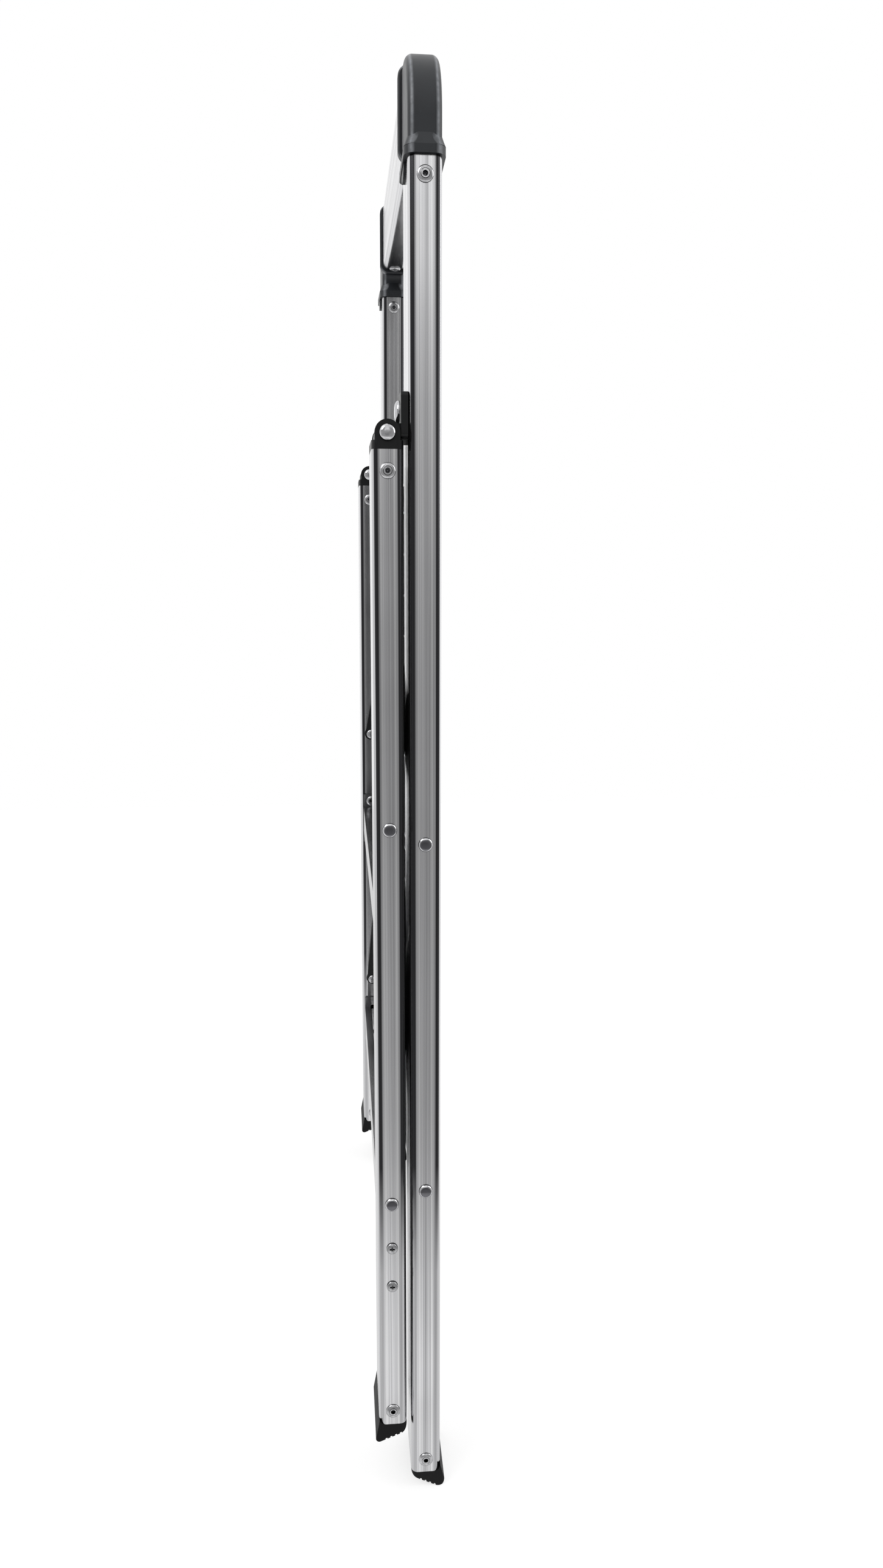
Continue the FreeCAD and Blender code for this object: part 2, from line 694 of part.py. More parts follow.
def foot(name, profile, rounded, near, far, low, high, tube_start, depth, y, toe_side, rivet_height, grooves):
    """A moulded foot: a wedge on the face of the stile, a ribbed sloping sole and a plug."""
    side = side_form(name + "_side", [profile], y=y)
    for radius, at_y, at_z in rounded:
        round_edges(side, radius, lambda edge: along(edge, Vector(1, 0, 0))
                    and math.hypot(edge.CenterOfMass.y - at_y, edge.CenterOfMass.z - at_z) < 0.05)
    corners = ("foot_edge_radius", "corner_radius")[::-toe_side]
    stand = column(name + "_stand", near, far, low + " - stile_width", high + " + stile_width", y, corners=corners)
    room = stile_ends(name + "_tube_room", depth, tube_start, high + " + stile_width", y, toe_side)
    solid = cut(name + "_solid", crossed(name + "_form", side, stand), room)
    outside = cut(name + "_outside", solid, grooves)
    inside = plug(name + "_plug", tube_start, tube_start + " + foot_plug_length", depth, y)
    whole = fuse(name + "_whole", [outside, inside])
    return drilled(name, whole, y, [(rivet_height, "rivet_radius")])


def make_feet():
    toe = "-front_depth / 2 - front_tongue"
    toe_y = -sizes["front_depth"] / 2 - sizes["front_tongue"]
    sole_width = sizes["front_depth"] + sizes["front_tongue"]
    sole_end = sole_width * sizes["front_sole_rise"] - sizes["toe_drop"]
    profile = [
        (toe, "-toe_drop"),
        ("front_depth / 2", "(front_depth + front_tongue) * front_sole_rise - toe_drop"),
        ("front_depth / 2", "front_tube_start + tube_end_radius"),
        ("-front_depth / 2", "front_tube_start + tube_end_radius"),
        ("-front_depth / 2", "front_tongue_top"),
        (toe, "front_tongue_knee"),
    ]
    rounded = [
        ("toe_radius", toe_y, -sizes["toe_drop"]),
        ("sole_end_radius", sizes["front_depth"] / 2, sole_end),
    ]
    grooves = sole_grooves("front_sole_grooves", "front_y - front_depth / 2 - front_tongue", "-toe_drop",
                           "front_lean_angle", "")
    keep_pair(foot("front_foot", profile, rounded, toe, "front_depth / 2", "0", "front_tongue_top",
                   "front_tube_start", "front_depth", "front_y", -1, "front_rivet_height", grooves), "front_foot")
    heel = "rear_depth / 2 + rear_heel"
    heel_y = sizes["rear_depth"] / 2 + sizes["rear_heel"]
    sole_width = sizes["rear_depth"] + sizes["rear_heel"]
    sole_end = sizes["heel_height"] + sole_width * sizes["rear_sole_rise"]
    profile = [
        (heel, "heel_height"),
        ("rear_depth / 2 + rear_tongue", "rear_tongue_knee"),
        ("rear_depth / 2", "rear_tongue_top"),
        ("rear_depth / 2", "rear_tube_start + tube_end_radius"),
        ("-rear_depth / 2", "rear_tube_start + tube_end_radius"),
        ("-rear_depth / 2", "heel_height + (rear_depth + rear_heel) * rear_sole_rise"),
    ]
    rounded = [
        ("heel_radius", heel_y, sizes["heel_height"]),
        ("sole_end_radius", -sizes["rear_depth"] / 2, sole_end),
    ]
    grooves = sole_grooves("rear_sole_grooves", "rear_y + " + heel, "heel_height", "-rear_lean_angle", "-")
    keep_pair(foot("rear_foot", profile, rounded, "-rear_depth / 2", "rear_depth / 2 + rear_tongue",
                   "heel_height", "rear_tongue_top", "rear_tube_start", "rear_depth", "rear_y", 1,
                   "rear_rivet_height", grooves), "rear_foot")
    group("front_foot_rivets", pop_rivets("front_foot_rivet", "front_y", "front_rivet_height"))
    group("rear_foot_rivets", pop_rivets("rear_foot_rivet", "rear_y", "rear_rivet_height"))


def make_hinge():
    """Moulded cap with two lugs on the rear stile and a barrel bracket on the front stile."""
    top = "hinge_height"
    base_top = "rear_tube_end + cap_base_height"
    base = level("cap_base", column(
        "cap_base_column", "-rear_depth / 2", "rear_depth / 2", "rear_tube_end - stile_width * lean",
        base_top + " + stile_width * lean", "rear_y"), "rear_tube_end", base_top)
    lug_side = fuse("cap_lug_side", [
        side_form("cap_lug_foot", [box_outline("-lug_radius", "lug_radius", "rear_tube_end", top)], y="rear_y"),
        cross_rod("cap_lug_eye", top, "lug_radius", "rear_y"),
    ])
    lug_top = top + " + lug_radius"
    outer_edge = edge_at(base_top)
    inner_edge = edge_at(base_top, "stile_width")
    outer_lug = front_form("cap_outer_lug", box_outline(
        outer_edge, outer_edge + " + lug_thickness", "rear_tube_end", lug_top), "rear_y")
    inner_lug = front_form("cap_inner_lug", box_outline(
        inner_edge + " - lug_thickness", inner_edge, "rear_tube_end", lug_top), "rear_y")
    lugs = crossed("cap_lugs", lug_side, fuse("cap_lug_fronts", [outer_lug, inner_lug]))
    cap_plug = plug("cap_plug", "rear_tube_end - cap_plug_length", "rear_tube_end", "rear_depth", "rear_y")
    solid = fuse("cap_solid", [base, lugs, cap_plug])
    room = cross_rod("cap_barrel_room", top, "barrel_radius + barrel_gap", "rear_y",
                     outer_edge + " + lug_thickness", "stile_width - 2 * lug_thickness")
    bored = drilled("rear_cap_bored", solid, "rear_y", [
        (top, "hinge_pin_radius"),
        ("rear_tube_end - cap_rivet_drop", "rivet_radius"),
    ])
    keep_pair(cut("rear_cap", bored, room), "rear_cap")
    group("rear_cap_rivets", pop_rivets("rear_cap_rivet", "rear_y", "rear_tube_end - cap_rivet_drop"))

    bracket_top = "bracket_bottom + bracket_height"
    face = "front_depth / 2"
    plate_front = front_form("bracket_plate_front", strip(
        "bracket_bottom", bracket_top, "bracket_inset", "stile_width - bracket_inset"))
    round_edges(plate_front, "bracket_corner_radius", lambda edge: along(edge, Vector(0, 1, 0)))
    plate = crossed("bracket_plate", side_form("bracket_plate_side", [box_outline(
        face, face + " + bracket_thickness", "bracket_bottom", bracket_top)]), plate_front)
    arm_side = fuse("bracket_arm_side", [
        side_form("bracket_arm", [box_outline(
            face, "rear_shift", "bracket_arm_bottom", "bracket_arm_bottom + bracket_arm_height")]),
        cross_rod("bracket_barrel", top, "barrel_radius", "rear_y"),
    ])
    side_gap = "lug_thickness + lug_side_gap"
    arm = crossed("bracket_arms", arm_side, front_form("bracket_arm_front", box_outline(
        outer_edge + " + " + side_gap, inner_edge + " - (%s)" % side_gap, "rear_tube_end", bracket_top)))
    rivet_hole = doc.addObject("Part::Cylinder", "bracket_rivet_hole")
    bind(rivet_hole, "Radius", "rivet_radius")
    bind(rivet_hole, "Height", "front_depth / 2 + bracket_thickness + rear_depth")
    place(rivet_hole, edge_at("bracket_rivet_height", "stile_width / 2"), "front_y",
          "bracket_rivet_height", Vector(1, 0, 0), "-90")
    whole = cut("bracket_drilled", fuse("bracket_whole", [plate, arm]), rivet_hole)
    keep_pair(drilled("hinge_bracket", whole, "rear_y", [(top, "hinge_pin_radius + running_gap")]), "hinge_bracket")

    bracket_rivet = headed_pin("bracket_rivet", "bracket_rivet_radius", "bracket_rivet_head",
                               "rivet_radius", "bracket_thickness + tube_wall")
    place(bracket_rivet, edge_at("bracket_rivet_height", "stile_width / 2"),
          "front_y + front_depth / 2 + bracket_thickness", "bracket_rivet_height", Vector(1, 0, 0), "-90")
    group("bracket_rivets", [bracket_rivet])

    pin = headed_pin("hinge_pin_shank", "pin_head_radius", "pin_head_height",
                     "hinge_pin_radius", "stile_width")
    place(pin, outer_edge, "rear_y", top, Vector(0, 1, 0), "-90")
    inner_head = headed_pin("hinge_pin_clench", "pin_head_radius", "pin_head_height",
                            "hinge_pin_radius * 0.8", "lug_thickness")
    place(inner_head, inner_edge, "rear_y", top, Vector(0, 1, 0), "90")
    group("hinge_pins", [fuse("hinge_pin", [pin, inner_head])])


def make_cross_bars():
    """Two bars with end plates that tie the rear stiles together."""
    for name, height, rise, flange in (
        ("rear_upper_bar", "upper_bar_height", "upper_bar_rise", "upper_flange_rise"),
        ("rear_lower_bar", "lower_bar_height", "lower_bar_rise", "flange_rise"),
    ):
        outlines = []
        for inset in ("0", "tube_wall"):
            near = "cross_bar_shift - cross_bar_depth / 2 + " + inset
            far = "cross_bar_shift + cross_bar_depth / 2 - " + inset
            outlines.append(box_outline(near, far, "%s - %s / 2 + %s" % (height, rise, inset),
                                        "%s + %s / 2 - %s" % (height, rise, inset)))
        low = "%s - %s / 2" % (height, rise)
        high = "%s + %s / 2" % (height, rise)
        bar = crossed(name + "_tube", side_form(name + "_tube_side", outlines, y="rear_y"),
                      front_form(name + "_tube_front", bridge(low, high, "stile_width + flange_thickness"), "rear_y"))
        low = "%s - %s / 2" % (height, flange)
        high = "%s + %s / 2" % (height, flange)
        plate = crossed(name + "_plate", side_form(name + "_plate_side", [box_outline(
            "cross_bar_shift - cross_bar_depth / 2", "cross_bar_shift + cross_bar_depth / 2", low, high)],
            y="rear_y"), front_form(name + "_plate_front", strip(
                low, high, "stile_width", "stile_width + flange_thickness"), "rear_y"))
        whole = fuse(name + "_whole", [bar, plate, mirror(plate, name + "_plate_right")])
        spacing = "bar_screw_spacing" if name == "rear_lower_bar" else "upper_rivet_spacing"
        keep(drilled(name + "_drilled", whole, "rear_y", [
            ("%s - %s / 2" % (height, spacing), "rivet_radius"),
            ("%s + %s / 2" % (height, spacing), "rivet_radius"),
        ]), name)
    screws = [
        outer_pin("rear_bar_screw_" + word, "rear_y", "lower_bar_height %s bar_screw_spacing / 2" % sign,
                  "screw_head_radius", "screw_head_height", "rivet_radius", "stile_width + flange_thickness + 1")
        for word, sign in (("low", "-"), ("high", "+"))
    ]
    group("rear_bar_screws", screws)
    rivets = [
        inner_pin("upper_bar_rivet_" + word, "rear_y", "upper_bar_height %s upper_rivet_spacing / 2" % sign,
                  "rivet_head_radius", "rivet_head_height", "rivet_radius",
                  "flange_thickness + tube_wall + rivet_grip", "stile_width + flange_thickness")
        for word, sign in (("low", "-"), ("high", "+"))
    ]
    group("rear_upper_bar_rivets", rivets)


def make_tread(step):
    """A folding tread: an extruded deck, a ribbed mat and two moulded end caps."""
    pivot = step + "_pivot_height"
    low = pivot + " - tread_nose"
    high = "%s + %s_tread_length" % (pivot, step)
    mat_top = "-front_depth / 2"
    deck_top = mat_top + " + mat_thickness"
    skin = deck_top + " + deck_thickness"
    under = "tread_underside"
    outer = "stile_width + tread_side_gap"
    inner = outer + " + end_cap_thickness"

    side = new_body(step + "_deck_side")
    add_pad(side, "YZ_Plane", "span", [[
        (deck_top, low),
        (under, low),
        (under, low + " + deck_thickness"),
        (skin, low + " + deck_thickness"),
        (skin, high + " - deck_thickness"),
        (under, high + " - deck_thickness"),
        (under, high),
        (deck_top, high),
    ]])
    rib_low = low + " + deck_rib_pitch"
    add_pad(side, "YZ_Plane", "span", [box_outline(
        skin, skin + " + deck_rib_height", rib_low, rib_low + " + deck_rib_width")])
    doc.recompute()
    rib = side.Tip
    pattern = side.newObject("PartDesign::LinearPattern", step + "_deck_ribs")
    pattern.Originals = [rib]
    pattern.Direction = (rib.Profile[0], ["V_Axis"])
    pattern.Mode = "Spacing"
    bind(pattern, "Offset", "deck_rib_pitch")
    length = sizes["tread_nose"] + sizes[step + "_tread_length"] - 2 * sizes["deck_thickness"]
    pattern.Occurrences = int(length / sizes["deck_rib_pitch"])
    side.Tip = pattern
    deck_front = front_form(step + "_deck_front", bridge(low, high, inner))
    keep(crossed(step + "_tread_deck", side, deck_front))

    mat = new_body(step + "_mat_side")
    mat_low = low + " + mat_border"
    mat_high = high + " - mat_border"
    add_pad(mat, "YZ_Plane", "span", [box_outline(mat_top, deck_top, mat_low, mat_high)])
    doc.recompute()
    groove_sketch = sketch_on(mat, "YZ_Plane")
    groove_low = mat_low + " + mat_groove_pitch"
    draw_outline(groove_sketch, box_outline(
        mat_top + " - 1", mat_top + " + mat_groove_depth", groove_low, groove_low + " + mat_groove_width"))
    groove = mat.newObject("PartDesign::Pocket", step + "_mat_groove")
    groove.Profile = groove_sketch
    groove.SideType = "Symmetric"
    bind(groove, "Length", "span + 2")
    doc.recompute()
    grooves = mat.newObject("PartDesign::LinearPattern", step + "_mat_grooves")
    grooves.Originals = [groove]
    grooves.Direction = (groove_sketch, ["V_Axis"])
    grooves.Mode = "Spacing"
    bind(grooves, "Offset", "mat_groove_pitch")
    length = sizes["tread_nose"] + sizes[step + "_tread_length"] - 2 * sizes["mat_border"]
    grooves.Occurrences = int(length / sizes["mat_groove_pitch"]) - 1
    mat.Tip = grooves
    keep(crossed(step + "_tread_mat", mat, front_form(
        step + "_mat_front", bridge(low, high, inner + " + mat_border"))))

    pin_height = step + "_pin_height"
    cap_side = side_form(step + "_cap_side", [box_outline(mat_top, under, low, high)])
    edge_low = sizes[step + "_pivot_height"] - sizes["tread_nose"]
    edge_high = sizes[step + "_pivot_height"] + sizes[step + "_tread_length"]
    round_edges(cap_side, "corner_radius", lambda edge: along(edge, Vector(1, 0, 0)) and (
        abs(edge.CenterOfMass.z - edge_low) < 0.01 or abs(edge.CenterOfMass.z - edge_high) < 0.01))
    cap_plate = crossed(step + "_cap_plate", cap_side, front_form(
        step + "_cap_front", strip(low, high, outer, inner)))
    boss = crossed(step + "_cap_boss", cross_rod(step + "_cap_boss_rod", pivot, "boss_radius"), front_form(
        step + "_cap_boss_front", strip(pivot + " - boss_radius", pivot + " + boss_radius", outer, inner)))
    cap = fuse(step + "_cap_solid", [cap_plate, boss])
    keep_pair(drilled(step + "_tread_cap", cap, "front_y", [
        (pivot, "tread_pin_radius + running_gap"),
    ]), step + "_tread_cap")

    bush_side = cut(step + "_bush_side", cross_rod(step + "_bush_rod", pivot, "boss_radius"),
                    cross_rod(step + "_bush_bore", pivot, "tread_pin_radius"))
    bush = crossed(step + "_bush_left", bush_side, front_form(step + "_bush_front", strip(
        pivot + " - 2 * boss_radius", pivot + " + 2 * boss_radius", "stile_width", outer + " - bush_gap")))
    group(step + "_tread_bushes", [bush])

    pin_length = inner + " + fit_gap"
    pivot_pin = outer_pin(step + "_tread_pin", "front_y", pivot, "tread_pin_head_radius",
                          "tread_pin_head_height", "tread_pin_radius", pin_length)
    group(step + "_tread_pivots", [pivot_pin])
    return pin_height


def make_links(step):
    """Two flat links from the rear stiles to the rear of a tread."""
    foot_height = step + "_link_foot"
    pin_height = step + "_pin_height"
    washer_end = "stile_width + washer_thickness"
    link_start = washer_end + " + washer_gap"
    link_end = link_start + " + link_thickness"
    body = doc.addObject("PartDesign::Body", step + "_link_side")
    place(body, "0", "rear_y", foot_height, Vector(1, 0, 0), step + "_link_tilt")
    length = step + "_link_length"
    add_pad(body, "YZ_Plane", "span", [box_outline("-link_width / 2", "link_width / 2", "0", length)])
    for centre in ("0", length):
        add_pad(body, "YZ_Plane", "span", circles=[("0", centre, "link_width / 2")])
    low = foot_height + " - link_width"
    high = pin_height + " + link_width"
    flat = crossed(step + "_link_flat", body, front_form(
        step + "_link_front", strip(low, high, link_start, link_end), "rear_y"))
    bored = drilled(step + "_link_foot_bored", flat, "rear_y", [(foot_height, "tread_pin_radius + running_gap")])
    keep_pair(drilled(step + "_link", bored, "front_y + rear_pin_offset",
                      [(pin_height, "link_pin_radius")]), step + "_link")

    washer_side = cut(step + "_washer_side", cross_rod(step + "_washer_disc", foot_height, "washer_radius", "rear_y"),
                      cross_rod(step + "_washer_bore", foot_height, "tread_pin_radius", "rear_y"))
    washer = crossed(step + "_washer", washer_side, front_form(step + "_washer_front", strip(
        foot_height + " - 2 * washer_radius", foot_height + " + 2 * washer_radius",
        "stile_width", washer_end), "rear_y"))
    group(step + "_link_washers", [washer])

    shank = outer_pin(step + "_link_rivet_shank", "rear_y", foot_height, "tread_pin_head_radius",
                      "tread_pin_head_height", "tread_pin_radius", link_end + " + link_rivet_end")
    group(step + "_link_rivets", [shank])

    pin_y = "front_y + rear_pin_offset"
    pin_side = fuse(step + "_link_pin_side", [
        crossed(step + "_link_pin_shank", cross_rod(step + "_link_pin_rod", pin_height, "link_pin_radius", pin_y),
                front_form(step + "_link_pin_front", strip(pin_height + " - link_width", high,
                                                           link_start, link_end), "rear_y")),
        crossed(step + "_link_pin_head", cross_rod(step + "_link_pin_disc", pin_height,
                                                   "link_pin_head_radius", pin_y),
                front_form(step + "_link_pin_head_front", strip(
                    pin_height + " - link_width", high,
                    link_start + " - link_pin_head_height", link_start), "rear_y")),
    ])
    group(step + "_link_pins", [pin_side])


make_stiles()
make_handrail()
make_grips()
make_feet()
make_hinge()
make_cross_bars()
for step in ("lower", "upper"):
    make_tread(step)
    make_links(step)
doc.recompute()

for thing in doc.Objects:
    if "Invalid" in thing.State or "Error" in thing.State:
        raise RuntimeError("%s failed: %s" % (thing.Label, thing.State))
for piece in kept:
    if piece.Shape.isNull() or not piece.Shape.isValid() or not piece.Shape.Solids:
        raise RuntimeError(piece.Label + " has no valid solid")
for piece in kept:
    piece.Shape.exportStep("parts/%s.step" % piece.Label)
    print(piece.Label, len(piece.Shape.Solids), round(piece.Shape.Volume, 1))
for step in ("lower", "upper"):
    print(step, "link turns", round(sizes[step + "_link_turn"], 4), "degrees")
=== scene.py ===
import bpy
import bmesh
import json
import math
from mathutils import Matrix, Vector


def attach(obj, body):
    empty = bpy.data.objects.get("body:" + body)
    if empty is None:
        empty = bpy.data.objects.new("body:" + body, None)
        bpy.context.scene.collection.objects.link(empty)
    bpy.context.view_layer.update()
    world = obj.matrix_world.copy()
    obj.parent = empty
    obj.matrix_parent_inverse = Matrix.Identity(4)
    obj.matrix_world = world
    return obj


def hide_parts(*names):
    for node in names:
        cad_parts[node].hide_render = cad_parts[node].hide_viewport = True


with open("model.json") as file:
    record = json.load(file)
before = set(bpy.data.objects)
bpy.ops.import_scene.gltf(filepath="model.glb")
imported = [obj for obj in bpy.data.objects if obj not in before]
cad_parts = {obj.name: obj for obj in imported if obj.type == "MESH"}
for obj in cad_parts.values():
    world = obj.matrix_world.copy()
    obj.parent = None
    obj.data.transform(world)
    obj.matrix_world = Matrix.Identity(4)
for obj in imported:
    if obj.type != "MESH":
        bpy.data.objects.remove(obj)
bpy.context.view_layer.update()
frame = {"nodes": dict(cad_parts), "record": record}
nodes = frame["nodes"]
print("frame loaded:", len(nodes), "nodes")

stileLean = 0.04  # both stiles lean inward by this share of their height
leanAngle = math.atan(stileLean)
samePoint = 1e-6  # points closer than this, in metres, are one point
facesAlong = 0.9  # a face whose normal has this much along an axis faces that way


# Materials

def linear(hexColour):
    channels = [int(hexColour[place:place + 2], 16) / 255 for place in (1, 3, 5)]
    return tuple(c / 12.92 if c <= 0.04045 else ((c + 0.055) / 1.055) ** 2.4
                 for c in channels) + (1.0,)


def addNode(tree, kind, inputs=(), output=0, **settings):
    # one node with its settings, and its inputs by place or by name, each a value or a socket;
    # the output asked for comes back. A Mix node's factor is input 0, its numbers are inputs 2
    # and 3 with output 0, and its colours are inputs 6 and 7 with output 2.
    node = tree.nodes.new("ShaderNode" + kind)
    for name, value in settings.items():
        setattr(node, name, value)
    for key, value in inputs.items() if isinstance(inputs, dict) else enumerate(inputs):
        if isinstance(value, bpy.types.NodeSocket):
            tree.links.new(value, node.inputs[key])
        else:
            node.inputs[key].default_value = value
    return node.outputs[output]


def howFar(tree, value, *middles):
    # how far a value lies from the first middle, then how far that distance lies from the next
    for middle in middles:
        value = addNode(tree, "Math", (value, middle), operation="SUBTRACT")
        value = addNode(tree, "Math", (value,), operation="ABSOLUTE")
    return value


def newMaterial(name):
    material = bpy.data.materials.new(name)
    material.use_nodes = True
    tree = material.node_tree
    shader = tree.nodes["Principled BSDF"]
    return material, tree, shader


def extrudedAluminium(name, runsAlong, values):
    # Mill-finish 6063 extrusion, brushed lightly along its length: satin, with fine die lines.
    # where asked, painted highlight bands on the narrow faces and painted shade on the corners
    material, tree, shader = newMaterial(name)
    place = addNode(tree, "TexCoord", (), "Object")
    across, depth, up = addNode(tree, "SeparateXYZ", (place,)).node.outputs
    if runsAlong == "Z":
        # the stiles lean, so the distance from the middle plus the lean stays constant along each
        length = up
        across = addNode(tree, "Math", (up, stileLean, howFar(tree, across, 0.0)),
                         operation="MULTIPLY_ADD")
    else:
        length, across = across, up
    drawn = addNode(tree, "CombineXYZ", (across, depth, length))
    # dies leave lines a fraction of a millimetre apart that run on for hundreds of millimetres
    lines = []
    for spacing, stretch, detail in (values["fineLines"], values["broadLines"]):
        vector = addNode(tree, "VectorMath", (drawn, (1 / spacing, 1 / spacing, 1 / stretch)),
                         operation="MULTIPLY")
        lines.append(addNode(tree, "TexNoise", {"Vector": vector, "Scale": 1.0, "Detail": detail,
                                                "Roughness": values["lineRoughness"]}))
    fine, broad = lines
    shade = addNode(tree, "Mix", {0: values["fineShare"], 2: broad, 3: fine})
    shade = addNode(tree, "MapRange", (shade, *values["contrast"], 0.0, 1.0))
    colour = addNode(tree, "Mix", {0: shade, 6: linear(values["dark"]), 7: linear(values["light"])},
                     2, data_type="RGBA")
    if "paintedBandHighlight" in values:
        # painted highlight: two pale bands beside the middle of each narrow face
        offBand = howFar(tree, depth, 0.0, values["bandCentre"], values["bandReach"])
        band = addNode(tree, "MapRange", (offBand, 0.0, values["bandWidth"],
                                          values["bandShare"], 0.0))
        colour = addNode(tree, "Mix", {0: band, 6: colour, 7: linear(values["paintedBandHighlight"])},
                         2, data_type="RGBA")
    if "paintedCornerShade" in values:
        # painted shade: the rounded corners are darkened, much less so towards the feet
        normal = addNode(tree, "NewGeometry", (), "Normal")
        facing = addNode(tree, "SeparateXYZ", (normal,))
        offCorner = howFar(tree, facing, 0.0, values["cornerFacing"])
        corner = addNode(tree, "MapRange", (offCorner, *values["cornerSpread"], 1.0, 0.0))
        cornerShadeByHeight = addNode(tree, "MapRange", (up, *values["cornerShadeFadeHeights"],
                                              values["lowCornerShadeShare"], 1.0))
        corner = addNode(tree, "Math", (corner, cornerShadeByHeight), operation="MULTIPLY")
        colour = addNode(tree, "Mix", {0: corner, 6: colour, 7: linear(values["paintedCornerShade"])},
                         2, data_type="RGBA")
    tree.links.new(colour, shader.inputs["Base Color"])
    size, detail = values["cloud"]
    cloud = addNode(tree, "TexNoise", {"Vector": place, "Scale": 1 / size, "Detail": detail})
    evenRough = addNode(tree, "MapRange", (shade, 0.0, 1.0, values["roughHigh"],
                                           values["roughLow"]))
    cloudRough = addNode(tree, "MapRange", (cloud, *values["cloudRange"], *values["cloudRough"]))
    rough = addNode(tree, "Math", (evenRough, cloudRough), operation="ADD")
    tree.links.new(rough, shader.inputs["Roughness"])
    shader.inputs["Metallic"].default_value = 1.0
    height = addNode(tree, "Math", (broad, values["broadBump"], fine), operation="MULTIPLY_ADD")
    bump = addNode(tree, "Bump", {"Strength": values["bump"], "Distance": values["depth"],
                                  "Height": height})
    tree.links.new(bump, shader.inputs["Normal"])
    return material


def grainedPolymer(name, values):
    # Moulded nylon or rubber, or a powder coat: a black skin with a fine even grain, which gives
    # a soft broad highlight, and with pale scuffs where it is handled.
    # where asked, a painted highlight runs along the rounded edges
    material, tree, shader = newMaterial(name)
    place = addNode(tree, "TexCoord", (), "Object")
    patterns = {}
    for pattern in ("grain", "cloud", "scuff", "streak"):
        if pattern in values:
            size, detail, roughness = values[pattern]
            patterns[pattern] = addNode(tree, "TexNoise", {
                "Vector": place, "Scale": 1 / size, "Detail": detail, "Roughness": roughness})
    shade = addNode(tree, "MapRange", (patterns["cloud"], *values["cloudRange"], 0.0, 1.0))
    colour = addNode(tree, "Mix", {0: shade, 6: linear(values["dark"]), 7: linear(values["light"])},
                     2, data_type="RGBA")
    worn = addNode(tree, "MapRange", (patterns["scuff"], *values["scuffRange"],
                                      0.0, values["scuffShare"]))
    colour = addNode(tree, "Mix", {0: worn, 6: colour, 7: linear(values["scuffColour"])},
                     2, data_type="RGBA")
    if "paintedEdgeHighlight" in values:
        # painted highlight: the rounded edges along each side are paler, broken into streaks
        normal = addNode(tree, "NewGeometry", (), "Normal")
        facing = addNode(tree, "SeparateXYZ", (normal,), "Y")
        offEdge = howFar(tree, facing, 0.0, values["edgeFacing"])
        edge = addNode(tree, "MapRange", (offEdge, 0.0, values["edgeSpread"], 1.0, 0.0))
        streaks = addNode(tree, "MapRange", (patterns["streak"], *values["streakRange"],
                                             *values["streakShares"]))
        highlightMask = addNode(tree, "Math", (edge, streaks), operation="MULTIPLY")
        colour = addNode(tree, "Mix", {0: highlightMask, 6: colour, 7: linear(values["paintedEdgeHighlight"])},
                         2, data_type="RGBA")
    tree.links.new(colour, shader.inputs["Base Color"])
    rough = addNode(tree, "MapRange", (patterns["cloud"], *values["cloudRange"],
                                       values["roughLow"], values["roughHigh"]))
    rough = addNode(tree, "Math", (worn, values["scuffRough"], rough), operation="MULTIPLY_ADD")
    tree.links.new(rough, shader.inputs["Roughness"])
    shader.inputs["IOR"].default_value = values["ior"]
    shader.inputs["Specular IOR Level"].default_value = values["gloss"]
    bump = addNode(tree, "Bump", {"Strength": values["bump"], "Distance": values["depth"],
                                  "Height": patterns["grain"]})
    tree.links.new(bump, shader.inputs["Normal"])
    return material


def brightFastener(name, values):
    # Headed or turned metal, plated or drawn bright: near mirror, with a faint uneven haze.
    material, tree, shader = newMaterial(name)
    place = addNode(tree, "TexCoord", (), "Object")
    size, detail, roughness = values["haze"]
    haze = addNode(tree, "TexNoise", {"Vector": place, "Scale": 1 / size, "Detail": detail,
                                      "Roughness": roughness})
    spot = addNode(tree, "MapRange", (haze, *values["hazeRange"], 0.0, 1.0))
    colour = addNode(tree, "Mix", {0: spot, 6: linear(values["light"]), 7: linear(values["dark"])},
                     2, data_type="RGBA")
    if "paintedCrownReflection" in values:
        # painted reflection: the crown of the head is darkened, and the flanks stay bright
        normal = addNode(tree, "NewGeometry", (), "Normal")
        facing = howFar(tree, addNode(tree, "SeparateXYZ", (normal,)), 0.0)
        crown = addNode(tree, "MapRange", (facing, *values["crownFacing"], 0.0, 1.0))
        colour = addNode(tree, "Mix", {0: crown, 6: colour, 7: linear(values["paintedCrownReflection"])},
                         2, data_type="RGBA")
    tree.links.new(colour, shader.inputs["Base Color"])
    rough = addNode(tree, "MapRange", (spot, 0.0, 1.0, values["roughLow"], values["roughHigh"]))
    tree.links.new(rough, shader.inputs["Roughness"])
    shader.inputs["Metallic"].default_value = 1.0
    bump = addNode(tree, "Bump", {"Strength": values["bump"], "Distance": values["depth"],
                                  "Height": haze})
    tree.links.new(bump, shader.inputs["Normal"])
    return material


# lines: spacing and run in metres, and detail; cloud: size in metres, and detail. Real die lines
# are about 0.1 mm apart, and these are as coarse as they need to be to show.
extrusionFinish = {
    "fineLines": (0.0006, 0.35, 2.0), "broadLines": (0.0035, 0.9, 3.0), "lineRoughness": 0.6,
    "fineShare": 0.45, "contrast": (0.34, 0.66), "cloud": (0.05, 3.0), "cloudRange": (0.3, 0.7),
    "cloudRough": (-0.03, 0.03), "roughLow": 0.16, "roughHigh": 0.26,
    "bump": 0.35, "broadBump": 0.7, "depth": 0.00004,
}
